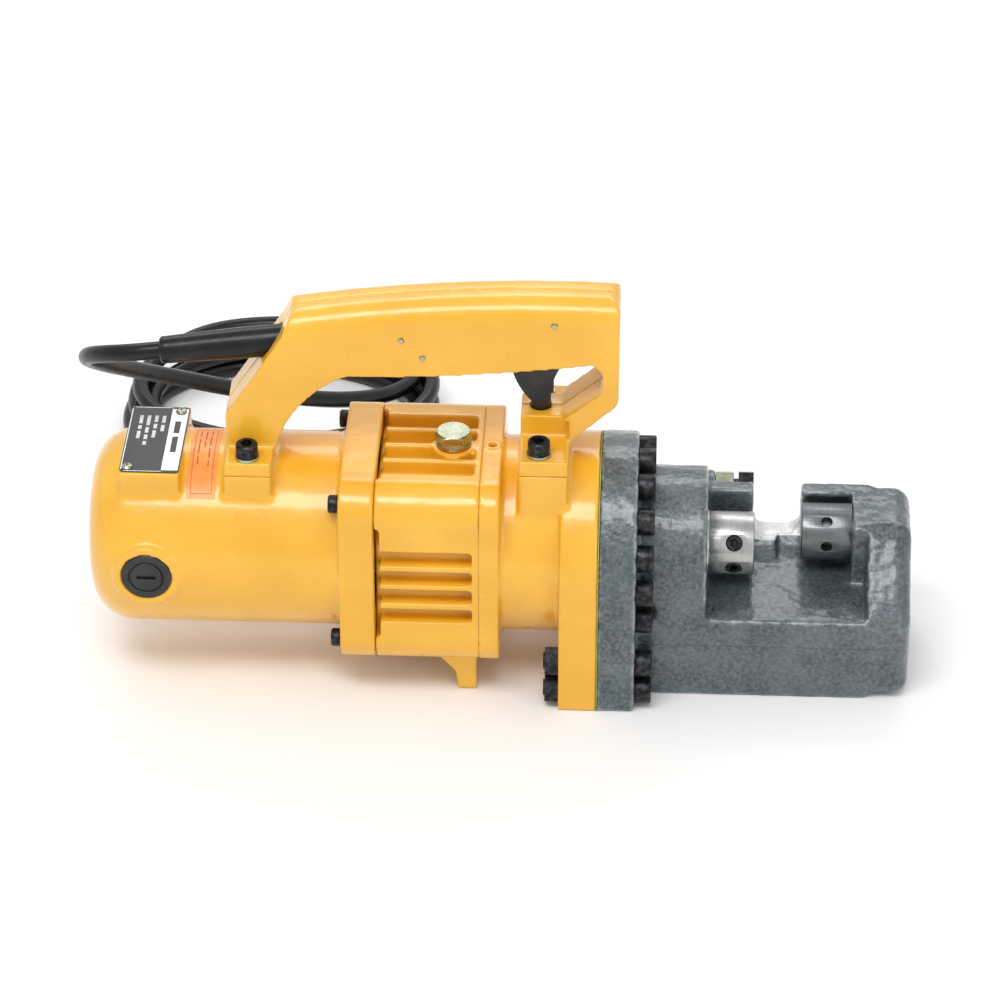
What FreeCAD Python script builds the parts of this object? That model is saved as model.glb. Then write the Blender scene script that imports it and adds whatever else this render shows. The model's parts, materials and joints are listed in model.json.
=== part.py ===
"""Portable electro-hydraulic rebar cutter, as a parametric document (millimetres).

Frame: +X runs from the motor to the cutter nose, +Z is up, and the floor is z = 0.
The origin is on the floor, directly below the middle of the gap between the two cutters.
"""
import FreeCAD, Part
import math
import os
import re
import Sketcher
from FreeCAD import Placement, Rotation, Vector

# ---------------------------------------------------------------- driving dimensions
DIMENSIONS = {
    # axes and stations along the tool
    "motor_height": 83, "ram_height": 78.5,
    "cover_back": -406, "rim_back": -257, "pump_back": -236, "middle_back": -175,
    "neck_back": -163, "flange_back": -128, "joint_face": -105, "head_front": -83,
    "pocket_back": -42, "gap_half": 14, "arm_back": 44, "nose_front": 79,
    # motor cover
    "cover_radius": 57.5, "cover_wall": 4, "cover_round": 25, "rim_half": 60, "rim_round": 20,
    "pad_top": 141.5, "label_back": -386, "label_front": -351, "label_half": 36,
    "rear_foot_back": -325, "rear_foot_front": -297, "rear_foot_half": 38.5,
    "rear_foot_top": 150.5, "brush_x": -370, "brush_boss_radius": 20, "brush_face": 58.5,
    "brush_hole_radius": 9, "cap_radius": 14.75, "rim_screw_offset": 47,
    "fit_gap": 0.05, "loose_gap": 0.3,
    # motor
    "stator_back": -346, "stator_front": -294, "stator_radius": 50, "stator_bore": 27,
    "core_radius": 26, "coil_reach": 10, "shaft_radius": 6, "shaft_tail_radius": 4,
    "commutator_back": -380, "commutator_front": -360, "commutator_radius": 16,
    "fan_back": -280, "fan_front": -267, "fan_radius": 46,
    "plate_back": -262, "plate_front": -253, "plate_radius": 53,
    "rear_bearing_back": -398, "rear_bearing_radius": 11, "rear_bearing_width": 7,
    "front_bearing_radius": 16, "front_bearing_width": 8,
    # gears: module 1, 10 and 40 teeth
    "gear_back": -248, "gear_front": -238, "pinion_pitch": 5, "gear_pitch": 20,
    "gear_mesh": 25.1, "tooth_module": 1,
    # pump
    "eccentric_back": -229, "eccentric_front": -217, "eccentric_offset": 1.5,
    "eccentric_radius": 9, "roller_radius": 12, "plunger_x": -223, "plunger_radius": 5,
    "pump_front": -186, "block_back": -213, "block_bearing_radius": 13,
    # finned pump housing
    "fin_depth": 10, "top_groove": 6.3, "side_groove": 4.6, "vent_gap": 3, "vent_half": 38,
    "pump_bore": 46, "pump_wall": 8,
    "filler_x": -192.3, "filler_hole": 6.1, "foot_half": 46,
    # cylinder housing and flanges
    "neck_radius": 58, "cylinder_radius": 32, "cylinder_back": -166, "flange_radius": 65.5,
    "bolt_circle": 55.7, "bolt_radius": 5, "bolt_head_radius": 8, "bolt_head_height": 10,
    "low_bolt_offset": 56, "low_bolt_upper": 29, "low_bolt_lower": 10,
    "front_foot_back": -152.5, "front_foot_front": -124, "front_foot_half": 43.5,
    "front_pad_top": 149.3, "front_foot_top": 159.3, "tap_x": -169, "tap_radius": 2.5,
    "tap_depth": 12, "gasket_thickness": 0.5,
    # cutter head
    "head_neck_radius": 45.5, "head_half": 45.7, "deck_height": 95, "spring_pocket": 31,
    "pocket_step": -65, "slot_floor": 65, "slot_round": 8, "fixed_side": 15,
    "fixed_radius": 17, "cutter_radius": 19, "cutter_screw_x": -26, "rod_radius": 20,
    "piston_back": -160, "piston_front": -140, "spigot_radius": 9,
    "stop_side": 62, "stop_height": 76, "stop_boss_radius": 12, "stop_bolt_radius": 7,
    # handle
    "grip_half": 19, "grip_top": 250.4, "grip_arc": 896, "grip_crown": -129, "post_half": 13,
    "trigger_x": -141, "stem_radius": 5.85,
    "foot_screw_radius": 4, "rear_screw_x": -311, "rear_screw_side": 31,
    "front_screw_x": -141, "front_screw_side": 34.6,
    # cord
    "boot_start": -292, "boot_height": 212.6, "boot_length": 71, "boot_tilt": 7.4,
    "boot_root_radius": 9.3, "boot_tip_radius": 8, "cord_radius": 5.25,
}
CUTTER_SCREW_ANGLES = (33, -19)
GEAR_TEETH = 40
PINION_TEETH = 10
HEAD_BOLT_ANGLES = [22.5 * step for step in range(-5, 6)]
TOP_GROOVES = (-25.5, -8.5, 8.5, 25.5)
SIDE_GROOVES = (17.5, 4.5, -8.5, -21.5)

doc = FreeCAD.newDocument("rebar_cutter")
dimensions = doc.addObject("Spreadsheet::Sheet", "dimensions")
for row, (alias, value) in enumerate(DIMENSIONS.items(), start=1):
    dimensions.set(f"A{row}", str(value))
    dimensions.setAlias(f"A{row}", alias)
doc.recompute()


# ---------------------------------------------------------------- helpers
def formula(text):
    """An expression with every alias pointed at the sheet."""
    def pointed(word):
        return "dimensions." + word[0] if word[0] in DIMENSIONS else word[0]
    return re.sub(r"[a-z][a-z_]+", pointed, str(text))


def number(text):
    """The present value of an expression."""
    return float(dimensions.evalExpression(formula(text)))


def bind(thing, **sizes):
    for name, text in sizes.items():
        thing.setExpression(name, formula(text))
    return thing


def place(thing, x=0, y=0, z=0, rotation=None):
    """Puts a piece at a point given by expressions, turned by a fixed rotation."""
    if rotation:
        thing.Placement = Placement(Vector(0, 0, 0), rotation)
    for axis, text in zip("xyz", (x, y, z)):
        thing.setExpression(f"Placement.Base.{axis}", formula(text))
    return thing


ALONG = {
    "X": Rotation(Vector(0, 1, 0), 90), "-X": Rotation(Vector(0, 1, 0), -90),
    "Y": Rotation(Vector(1, 0, 0), -90), "-Y": Rotation(Vector(1, 0, 0), 90),
    "Z": Rotation(), "-Z": Rotation(Vector(1, 0, 0), 180),
}


def rod(radius, start, length, along="X", name="rod"):
    """A cylinder from a start point (three expressions), length along an axis."""
    piece = bind(doc.addObject("Part::Cylinder", name), Radius=radius, Height=length)
    return place(piece, *start, rotation=ALONG[along])


def block(x, y, z, name="block"):
    """A box given by (low, high) expression pairs along each axis."""
    piece = doc.addObject("Part::Box", name)
    bind(piece, Length=f"({x[1]}) - ({x[0]})", Width=f"({y[1]}) - ({y[0]})", Height=f"({z[1]}) - ({z[0]})")
    return place(piece, x[0], y[0], z[0])


def hexagon(across_flats, start, length, along="X", name="hexagon"):
    piece = doc.addObject("Part::Prism", name)
    bind(piece, Circumradius=f"({across_flats}) / sqrt(3)", Height=length)
    return place(piece, *start, rotation=ALONG[along])


def join(*pieces, name="joined"):
    piece = doc.addObject("Part::MultiFuse", name)
    piece.Shapes = list(pieces)
    return piece


def cut(base, *tools, name="cut"):
    piece = doc.addObject("Part::Cut", name)
    piece.Base = base
    piece.Tool = tools[0] if len(tools) == 1 else join(*tools, name="tools")
    return piece


def common(*pieces, name="common"):
    piece = doc.addObject("Part::MultiCommon", name)
    piece.Shapes = list(pieces)
    return piece


def group(*pieces, name="group"):
    """Separate solids that share one node."""
    piece = doc.addObject("Part::Compound", name)
    piece.Links = list(pieces)
    return piece


def mirrored(source, name="mirrored"):
    """The same piece on the other side of the plane y = 0."""
    piece = doc.addObject("Part::Mirroring", name)
    piece.Source = source
    piece.Normal = Vector(0, 1, 0)
    return piece


def copy_at(source, x=0, y=0, z=0, rotation=None, name="copy"):
    piece = doc.addObject("App::Link", name)
    piece.LinkedObject = source
    if rotation:
        piece.Placement = Placement(Vector(0, 0, 0), rotation)
    for axis, text in zip("xyz", (x, y, z)):
        piece.setExpression(f"Placement.Base.{axis}", formula(text))
    return piece


def pin_point(sketch, geometry, end, point):
    """Fixes one point of a sketch to a pair of expressions."""
    for kind, axis, text in (("DistanceX", -2, point[0]), ("DistanceY", -1, point[1])):
        value = number(text)
        if abs(value) < 1e-9:
            sketch.addConstraint(Sketcher.Constraint("PointOnObject", geometry, end, axis))
            continue
        index = sketch.addConstraint(Sketcher.Constraint(kind, -1, 1, geometry, end, value))
        sketch.setExpression(f"Constraints[{index}]", formula(text))


def arc_through(start, middle, end):
    """An arc through three points, stored anticlockwise as a sketch keeps it."""
    found = Part.ArcOfCircle(start, middle, end)
    centre = found.Center
    first, last = [math.atan2(spot.y - centre.y, spot.x - centre.x) for spot in (start, end)]
    if found.Axis.z < 0:
        first, last = last, first
    if last < first:
        last += 2 * math.pi
    return Part.ArcOfCircle(Part.Circle(centre, Vector(0, 0, 1), found.Radius), first, last)


def drawn(body, plane, outline):
    """A closed outline of lines, and of arcs through each point marked "via"."""
    sketch = body.newObject("Sketcher::SketchObject", "outline")
    origin = [item for item in body.Origin.OriginFeatures if item.Role == plane + "_Plane"][0]
    sketch.AttachmentSupport = (origin, [""])
    sketch.MapMode = "FlatFace"
    corners = [item for item in outline if len(item) == 2]
    vias = {}
    for index, item in enumerate(outline):
        if len(item) == 3:
            vias[corners.index(outline[index - 1])] = item
    spots = [Vector(number(u), number(v), 0) for u, v in corners]
    for index, spot in enumerate(spots):
        following = spots[(index + 1) % len(spots)]
        if index in vias:
            middle = Vector(number(vias[index][0]), number(vias[index][1]), 0)
            sketch.addGeometry(arc_through(spot, middle, following), False)
        else:
            sketch.addGeometry(Part.LineSegment(spot, following), False)
    ends = []
    for index, spot in enumerate(spots):
        edge = sketch.Geometry[index]
        ends.append((1, 2) if edge.StartPoint.isEqual(spot, 1e-6) else (2, 1))
    count = len(spots)
    for index in range(count):
        after = (index + 1) % count
        sketch.addConstraint(Sketcher.Constraint("Coincident", index, ends[index][1],
                                                 after, ends[after][0]))
        pin_point(sketch, index, ends[index][0], corners[index])
    for index in vias:
        sketch.addConstraint(Sketcher.Constraint("Radius", index, sketch.Geometry[index].Radius))
    return sketch


def prism(plane, outline, low, high, name="prism"):
    """An outline in the XZ or YZ plane, padded between two places along its normal."""
    body = doc.addObject("PartDesign::Body", name)
    sketch = drawn(body, plane, outline)
    start = f"-({high})" if plane == "XZ" else low
    sketch.setExpression("AttachmentOffset.Base.z", formula(start))
    pad = body.newObject("PartDesign::Pad", "pad")
    pad.Profile = sketch
    bind(pad, Length=f"({high}) - ({low})")
    return body


def turned(outline, at=(0, 0, 0), along="X", name="turned"):
    """An outline of (place along the axis, radius) pairs, turned about the axis."""
    body = doc.addObject("PartDesign::Body", name)
    sketch = drawn(body, "XZ", outline)
    turn = body.newObject("PartDesign::Revolution", "turn")
    turn.Profile = sketch
    turn.ReferenceAxis = (sketch, ["H_Axis"])
    turn.Angle = 360
    from_x = {"X": Rotation(), "-X": Rotation(Vector(0, 0, 1), 180), "Y": Rotation(Vector(0, 0, 1), 90),
              "-Y": Rotation(Vector(0, 0, 1), -90), "Z": Rotation(Vector(0, 1, 0), -90)}
    return place(body, *at, rotation=from_x[along])


def rounded(body, radius, chosen):
    """Rounds those edges of a body that the test picks."""
    doc.recompute()
    tip = body.Tip
    names = [f"Edge{i}" for i, edge in enumerate(tip.Shape.Edges, start=1) if chosen(edge)]
    fillet = body.newObject("PartDesign::Fillet", "fillet")
    fillet.Base = (tip, names)
    bind(fillet, Radius=radius)
    return body


def runs_along(edge, axis):
    """True for a straight edge parallel to an axis (0, 1 or 2)."""
    if not isinstance(edge.Curve, Part.Line):
        return False
    return abs(abs(edge.tangentAt(edge.FirstParameter)[axis]) - 1) < 1e-6


def near(value, text):
    return abs(value - number(text)) < 0.05


def node(piece, name):
    """Names a finished sub-part."""
    piece.Label = name
    NODES.append(piece)
    return piece


NODES = []


def socket_screw(head_radius, head_height, shank_radius, shank_length, name="screw"):
    """A hex-socket cap screw along +X: head from 0 to its height, shank behind it."""
    body = turned([("0", "0"), (f"-({shank_length})", "0"), (f"-({shank_length})", shank_radius),
                   ("0", shank_radius), ("0", head_radius), (f"{head_height} - 0.8", head_radius),
                   (head_height, f"{head_radius} - 0.8"), (head_height, "0")], name=name)
    key = hexagon(f"{head_radius}", (f"{head_height} * 0.45", 0, 0), head_height, name="key_socket")
    return cut(body, key, name=name)


def grub_screw(radius, length, name="grub_screw"):
    """A hex-socket set screw along +X, flush at its outer end x = 0."""
    body = turned([("0", "0"), (f"-({length})", "0"), (f"-({length})", f"{radius} * 0.6"),
                   (f"1.5 - ({length})", radius), (f"-({radius} * 0.15)", radius),
                   ("0", f"{radius} * 0.85")], name=name)
    key = hexagon(f"{radius}", (f"-({length}) * 0.5", 0, 0), length, name="key_socket")
    return cut(body, key, name=name)


def rounded_square(back, front, half, radius, height, name="rounded_square"):
    body = prism("YZ", [(f"-({half})", f"{height} - {half}"), (half, f"{height} - {half}"),
                        (half, f"{height} + {half}"), (f"-({half})", f"{height} + {half}")],
                 back, front, name)
    return rounded(body, radius, lambda edge: runs_along(edge, 0))


def flange_outline():
    """The joint flange: round above, square-shouldered down to the floor."""
    half = "flange_radius"
    slant = f"{half} * sqrt(0.5)"
    return [("-" + half, "0"), (half, "0"), (half, "ram_height"), (slant, f"ram_height + {slant}", "via"),
            ("0", f"ram_height + {half}"), ("-" + slant, f"ram_height + {slant}", "via"),
            ("-" + half, "ram_height")]


def low_bolt_spots():
    """Y, Z of the four long bolts in the flange's lower shoulders."""
    return [(side + "low_bolt_offset", height) for side in ("", "-")
            for height in ("low_bolt_upper", "low_bolt_lower")]


def head_bolt_spots():
    """Y, Z of every head bolt: eleven on an arc about the ram axis, and the four low ones."""
    arc = [(f"bolt_circle * sin({angle})", f"ram_height + bolt_circle * cos({angle})")
           for angle in HEAD_BOLT_ANGLES]
    return arc + low_bolt_spots()


def rim_screw_spots():
    """Y, Z of the four screws that hold the motor cover's rim."""
    return [(f"{a}rim_screw_offset", f"motor_height {b} rim_screw_offset") for a in ("", "-") for b in "+-"]


def label_screw_spots():
    """X, Y of the label's two screws, in its opposite corners."""
    return (("label_back + 4.5", "-label_half + 5"), ("label_front - 5", "label_half - 5"))


def foot_screw_spots():
    """X, Y and washer height of the four screws that hold the handle's feet."""
    return [(f"{end}_screw_x", f"{side}{end}_screw_side", f"{end}_foot_top")
            for end in ("rear", "front") for side in ("", "-")]


# ---------------------------------------------------------------- motor
def motor_cover():
    shell = turned([("cover_back", "0"), ("cover_back", "cover_radius - cover_round"),
                    ("cover_back + cover_round * 0.293", "cover_radius - cover_round * 0.293", "via"),
                    ("cover_back + cover_round", "cover_radius"), ("rim_back + 5", "cover_radius"),
                    ("rim_back + 5", "0")], at=(0, 0, "motor_height"), name="cover_shell")
    rim = rounded_square("rim_back", "pump_back", "rim_half", "rim_round", "motor_height", "cover_rim")
    label_pad = block(("label_back", "label_front"), ("-label_half - 2", "label_half + 2"),
                      ("motor_height", "pad_top"), "label_pad")
    foot_pad = block(("rear_foot_back", "rear_foot_front"), ("-rear_foot_half", "rear_foot_half"),
                     ("motor_height", "pad_top"), "handle_pad")
    bosses = rod("brush_boss_radius", ("brush_x", "-brush_face", "motor_height"), "2 * brush_face", "Y")
    outside = join(shell, rim, label_pad, foot_pad, bosses, name="cover_outside")
    motor_space = turned([("cover_back + 5", "0"), ("cover_back + 5", "cover_radius - cover_round"),
                          ("cover_back + 12", "cover_radius - cover_wall - 9"),
                          ("cover_back + 24", "cover_radius - cover_wall"),
                          ("stator_back", "cover_radius - cover_wall"),
                          ("stator_back", "stator_radius + fit_gap"),
                          ("stator_front + 2", "stator_radius + fit_gap"),
                          ("stator_front + 6", "cover_radius - cover_wall"),
                          ("pump_back + 1", "cover_radius - cover_wall"), ("pump_back + 1", "0")],
                         at=(0, 0, "motor_height"), name="motor_space")
    hollow = cut(outside, motor_space, name="cover_hollow")
    bearing_boss = rod("rear_bearing_radius + 4", ("cover_back + 4", 0, "motor_height"), 14)
    body = join(hollow, bearing_boss, name="cover_body")
    holes = [rod("rear_bearing_radius", ("rear_bearing_back - 0.5", 0, "motor_height"), 30)]
    holes.append(rod("brush_hole_radius", ("brush_x", "-80", "motor_height"), 160, "Y"))
    for side in ("", "-"):
        face = ("brush_x", f"{side}(brush_face - 3)", "motor_height")
        holes.append(rod("cap_radius + 0.2", face, 10, side + "Y"))
        screw = ("rear_screw_x", f"{side}rear_screw_side", "pad_top - 13")
        holes.append(rod("foot_screw_radius", screw, 20, "Z"))
    for y, z in rim_screw_spots():
        holes.append(rod("3.2", ("rim_back - 1", y, z), 30))
    for x, y in label_screw_spots():
        holes.append(rod("1.5", (x, y, "pad_top - 6"), 10, "Z"))
    return node(cut(body, *holes, name="motor_cover"), "motor_cover")


def motor_fixed_parts():
    """Stator, field coils, brushes and the bearing plate: all held by the cover."""
    centre = (0, 0, "motor_height")
    yoke = turned([("stator_back", "stator_radius - 9"), ("stator_back", "stator_radius"),
                   ("stator_front", "stator_radius"), ("stator_front", "stator_radius - 9")], at=centre)
    pole_ring = turned([("stator_back", "stator_bore"), ("stator_back", "stator_radius - 8"),
                        ("stator_front", "stator_radius - 8"), ("stator_front", "stator_bore")], at=centre)
    pole_box = block(("stator_back", "stator_front"), (-60, 60), ("motor_height - 17", "motor_height + 17"))
    node(join(yoke, common(pole_ring, pole_box), name="stator_core"), "stator_core")

    outer = block(("stator_back - coil_reach", "stator_front + coil_reach"), (1, 60),
                  ("motor_height - 26", "motor_height + 26"))
    inner = block(("stator_back - 0.4", "stator_front + 0.4"), (0, 61),
                  ("motor_height - 17.4", "motor_height + 17.4"))
    window = turned([("stator_back - 20", "stator_bore + 1.5"), ("stator_back - 20", "stator_radius - 9.5"),
                     ("stator_front + 20", "stator_radius - 9.5"), ("stator_front + 20", "stator_bore + 1.5")],
                    at=centre)
    coil = common(cut(outer, inner), window, name="field_coil")
    node(group(coil, mirrored(coil), name="field_coils"), "field_coils")

    holder = turned([("commutator_radius + 2.5", "5"),
                     ("commutator_radius + 2.5", "brush_hole_radius - fit_gap"),
                     ("brush_face - 3.2", "brush_hole_radius - fit_gap"), ("brush_face - 3.2", "5")],
                    at=("brush_x", 0, "motor_height"), along="Y", name="brush_holder")
    node(group(holder, mirrored(holder), name="brush_holders"), "brush_holders")
    brush = turned([("commutator_radius + 0.3", "0"), ("commutator_radius + 0.3", "4.7"),
                    ("commutator_radius + 17", "4.7"), ("commutator_radius + 17", "0")],
                   at=("brush_x", 0, "motor_height"), along="Y", name="brush")
    node(group(brush, mirrored(brush), name="carbon_brushes"), "carbon_brushes")
    node(brush_springs(), "brush_springs")

    cap = turned([("brush_face - 3", "0"), ("brush_face - 3", "cap_radius"),
                  ("brush_face - 0.6", "cap_radius"), ("brush_face", "cap_radius - 0.6"),
                  ("brush_face", "10.6"), ("brush_face - 1", "10.2"), ("brush_face - 1", "9.6"),
                  ("brush_face", "9.2"), ("brush_face", "0")],
                 at=("brush_x", 0, "motor_height"), along="Y", name="brush_cap_blank")
    slot = block(("brush_x - 5.5", "brush_x + 5.5"), ("brush_face - 1.6", "brush_face + 1"),
                 ("motor_height - 1.3", "motor_height + 1.3"))
    left_cap = cut(cap, slot, name="brush_cap")
    node(group(left_cap, mirrored(left_cap), name="brush_caps"), "brush_caps")

    plate = turned([("plate_back", "front_bearing_radius"), ("plate_back", "front_bearing_radius + 5"),
                    ("plate_back + 3", "front_bearing_radius + 5"), ("plate_back + 3", "plate_radius"),
                    ("plate_front", "plate_radius"), ("plate_front", "11"), ("plate_front - 1", "11"),
                    ("plate_front - 1", "front_bearing_radius")], at=centre, name="plate_blank")
    gear_seat = rod("6.5", ("plate_back + 3.5", 0, "motor_height - gear_mesh"), 10)
    node(cut(plate, gear_seat, name="bearing_plate"), "bearing_plate")


def coil_spring(mean_radius, wire_radius, turns, start, length, along="Z", name="spring"):
    """A round-wire helix standing on its start point, its wire swept along the helix."""
    helix = doc.addObject("Part::Helix", name + "_line")
    bind(helix, Radius=mean_radius, Height=f"({length}) - 2 * ({wire_radius})",
         Pitch=f"(({length}) - 2 * ({wire_radius})) / {turns}")
    wire = doc.addObject("Part::Circle", name + "_wire")
    bind(wire, Radius=wire_radius)
    wire.Placement = Placement(Vector(number(mean_radius), 0, 0), Rotation(Vector(1, 0, 0), 90))
    doc.recompute()
    sweep = doc.addObject("Part::Sweep", name)
    sweep.Sections = [wire]
    sweep.Spine = (helix, [f"Edge{i + 1}" for i in range(len(helix.Shape.Edges))])
    sweep.Solid = True
    sweep.Frenet = True
    lift = ALONG[along].multVec(Vector(0, 0, number(wire_radius)))
    moved = [f"({text}) + {shift}" for text, shift in zip(start, (lift.x, lift.y, lift.z))]
    return place(sweep, *moved, rotation=ALONG[along])


def brush_springs():
    near_side = coil_spring("3.6", "0.6", 4, ("brush_x", "commutator_radius + 17.4", "motor_height"),
                            "brush_face - commutator_radius - 20.9", "Y", "brush_spring")
    return group(near_side, mirrored(near_side), name="brush_springs")


def ball_bearing(bore, outer, back, width, height, name):
    """A bearing's two rings; the inner ring turns with its shaft."""
    middle = f"(({bore}) + ({outer})) / 2"
    ball = f"(({outer}) - ({bore})) * 0.24"
    inner = turned([(back, f"{bore} + fit_gap"), (back, f"{middle} - {ball} * 0.45"),
                    (f"{back} + {width}", f"{middle} - {ball} * 0.45"),
                   (f"{back} + {width}", f"{bore} + fit_gap")],
                   at=(0, 0, height), name=name + "_inner_ring")
    ring = turned([(back, f"{middle} + {ball} * 0.45"), (back, f"{outer} - fit_gap"),
                   (f"{back} + {width}", f"{outer} - fit_gap"),
                  (f"{back} + {width}", f"{middle} + {ball} * 0.45")],
                  at=(0, 0, height), name=name + "_outer_ring")
    return inner, ring


def armature():
    centre = (0, 0, "motor_height")
    shaft = turned([("rear_bearing_back + 0.3", "0"), ("rear_bearing_back + 0.3", "shaft_tail_radius"),
                    ("commutator_back - 8", "shaft_tail_radius"), ("commutator_back - 8", "shaft_radius"),
                    ("gear_back - 4", "shaft_radius"), ("gear_back - 4", "3"), ("gear_front + 3", "3"),
                    ("gear_front + 3", "0")], at=centre, name="shaft_blank")
    pinion = spur_gear(PINION_TEETH, "pinion_pitch", "gear_back - 1", "gear_front + 1", "2.5",
                       "motor_height", -90, "pinion_teeth")
    node(join(shaft, pinion, name="armature_shaft"), "armature_shaft")
    bore = "shaft_radius + fit_gap"
    core = turned([("stator_back", bore), ("stator_back", "core_radius"), ("stator_front", "core_radius"),
                   ("stator_front", bore)], at=centre, name="core_blank")
    slots = []
    for index in range(12):
        angle = 30 * index
        slot = block(("stator_back - 1", "stator_front + 1"), (-1, 1), ("core_radius - 7", "core_radius + 2"))
        slots.append(turn_about_motor(slot, angle))
    node(cut(core, *slots, name="armature_core"), "armature_core")
    windings = []
    for back, front in (("commutator_front + 1", "stator_back - 0.2"), ("stator_front + 0.2", "fan_back - 3")):
        windings.append(turned([(back, bore), (back, "13"), (f"{back} + 3", "core_radius - 4"),
                                (f"{front} - 1", "core_radius - 4"), (front, "core_radius - 5"), (front, bore)],
                               at=centre, name="end_winding"))
    node(group(*windings, name="armature_windings"), "armature_windings")
    bars = turned([("commutator_back", bore), ("commutator_back", "commutator_radius"),
                   ("commutator_front - 3", "commutator_radius"), ("commutator_front - 3", "commutator_radius + 2"),
                   ("commutator_front", "commutator_radius + 2"), ("commutator_front", bore)],
                  at=centre, name="commutator_bars")
    gaps = []
    for index in range(24):
        gap = block(("commutator_back - 1", "commutator_front + 1"), (-0.3, 0.3),
                    ("commutator_radius - 1.5", "commutator_radius + 4"))
        gaps.append(turn_about_motor(gap, 15 * index))
    node(cut(bars, *gaps, name="commutator"), "commutator")
    fan()


def turn_about_motor(piece, degrees, height="motor_height"):
    """Turns a piece, built on the X axis, about a shaft line at a height."""
    spun = doc.addObject("App::Link", "spun")
    spun.LinkedObject = piece
    spun.LinkTransform = True
    spun.Placement = Placement(Vector(0, 0, 0), Rotation(Vector(1, 0, 0), degrees))
    return place_height(spun, height)


def place_height(piece, height):
    piece.setExpression("Placement.Base.z", formula(height))
    return piece


def fan():
    centre = (0, 0, "motor_height")
    bore = "shaft_radius + fit_gap"
    hub = turned([("fan_back", bore), ("fan_back", "12"), ("fan_front - 2", "14"), ("fan_front - 2", "fan_radius"),
                  ("fan_front", "fan_radius"), ("fan_front", bore)], at=centre, name="fan_hub")
    blades = []
    for index in range(9):
        blade = block(("fan_back", "fan_front - 1"), (-1, 1), (11, "fan_radius"), "blade")
        blades.append(turn_about_motor(blade, 40 * index))
    node(join(hub, *blades, name="fan"), "fan")


# ---------------------------------------------------------------- gears and pump
def spur_gear(teeth, pitch_radius, back, front, bore, height, turned_by, name):
    """A spur gear with straight-sided teeth, repeated round its blank."""
    body = doc.addObject("PartDesign::Body", name)
    root = f"({pitch_radius} - 1.2)"
    slant = f"{root} * sqrt(0.5)"
    blank = drawn(body, "YZ", [(root, "0"), (slant, slant, "via"), ("0", root), (f"-{slant}", slant, "via"),
                               (f"-{root}", "0"), (f"-{slant}", f"-{slant}", "via"), ("0", f"-{root}"),
                               (slant, f"-{slant}", "via")])
    blank.setExpression("AttachmentOffset.Base.z", formula(back))
    disc = body.newObject("PartDesign::Pad", "disc")
    disc.Profile = blank
    bind(disc, Length=f"({front}) - ({back})")
    foot, tip = f"{pitch_radius} - 1.6", f"{pitch_radius} + 0.9 * tooth_module"
    tooth = drawn(body, "YZ", [(foot, "-1.05 * tooth_module"), (f"{pitch_radius}", "-0.72 * tooth_module"),
                               (tip, "-0.34 * tooth_module"), (tip, "0.34 * tooth_module"),
                               (f"{pitch_radius}", "0.72 * tooth_module"), (foot, "1.05 * tooth_module")])
    tooth.setExpression("AttachmentOffset.Base.z", formula(back))
    tooth_pad = body.newObject("PartDesign::Pad", "tooth")
    tooth_pad.Profile = tooth
    bind(tooth_pad, Length=f"({front}) - ({back})")
    doc.recompute()
    pattern = body.newObject("PartDesign::PolarPattern", "teeth")
    pattern.Originals = [tooth_pad]
    pattern.Axis = (blank, ["N_Axis"])
    pattern.Angle = 360
    pattern.Occurrences = teeth
    body.Tip = pattern
    body.Placement = Placement(Vector(0, 0, 0), Rotation(Vector(1, 0, 0), turned_by))
    place_height(body, height)
    hole = rod(bore, (f"{back} - 1", 0, height), f"({front}) - ({back}) + 2")
    return cut(body, hole, name=name)


def gears():
    gear_height = "motor_height - gear_mesh"
    wheel = spur_gear(GEAR_TEETH, "gear_pitch", "gear_back", "gear_front", "6 + fit_gap", gear_height,
                      90 + 180 / GEAR_TEETH, "wheel_teeth")
    node(wheel, "drive_gear")
    shaft = turned([("plate_front - 5", "0"), ("plate_front - 5", "6.45"), ("plate_front + 2", "6.45"),
                    ("plate_front + 2", "6"), ("gear_front + 1", "6"), ("gear_front + 1", "7"),
                    ("eccentric_back", "7"), ("eccentric_back", "5"), ("block_back + 7.5", "5"),
                    ("block_back + 7.5", "0")], at=(0, 0, gear_height), name="crank_shaft")
    lobe = rod("eccentric_radius", ("eccentric_back", 0, f"{gear_height} - eccentric_offset"),
               "eccentric_front - eccentric_back")
    node(join(shaft, lobe, name="eccentric_shaft"), "eccentric_shaft")
    roller = turned([("eccentric_back + 0.5", "eccentric_radius + fit_gap"), ("eccentric_back + 0.5", "roller_radius"),
                     ("eccentric_front - 0.5", "roller_radius"),
                     ("eccentric_front - 0.5", "eccentric_radius + fit_gap")],
                    at=(0, 0, f"{gear_height} - eccentric_offset"), name="eccentric_roller")
    node(roller, "eccentric_roller")


def bearings():
    rear_inner, rear_outer = ball_bearing("shaft_tail_radius", "rear_bearing_radius", "rear_bearing_back",
                                          "rear_bearing_width", "motor_height", "rear")
    front_inner, front_outer = ball_bearing("shaft_radius", "front_bearing_radius", "plate_back",
                                            "front_bearing_width", "motor_height", "front")
    crank_inner, crank_outer = ball_bearing("5", "block_bearing_radius", "block_back", 8,
                                            "motor_height - gear_mesh", "crank")
    node(group(rear_inner, front_inner, name="motor_bearing_inner_rings"), "motor_bearing_inner_rings")
    node(crank_inner, "crank_bearing_inner_ring")
    node(group(rear_outer, front_outer, crank_outer, name="bearing_outer_rings"), "bearing_outer_rings")


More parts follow.
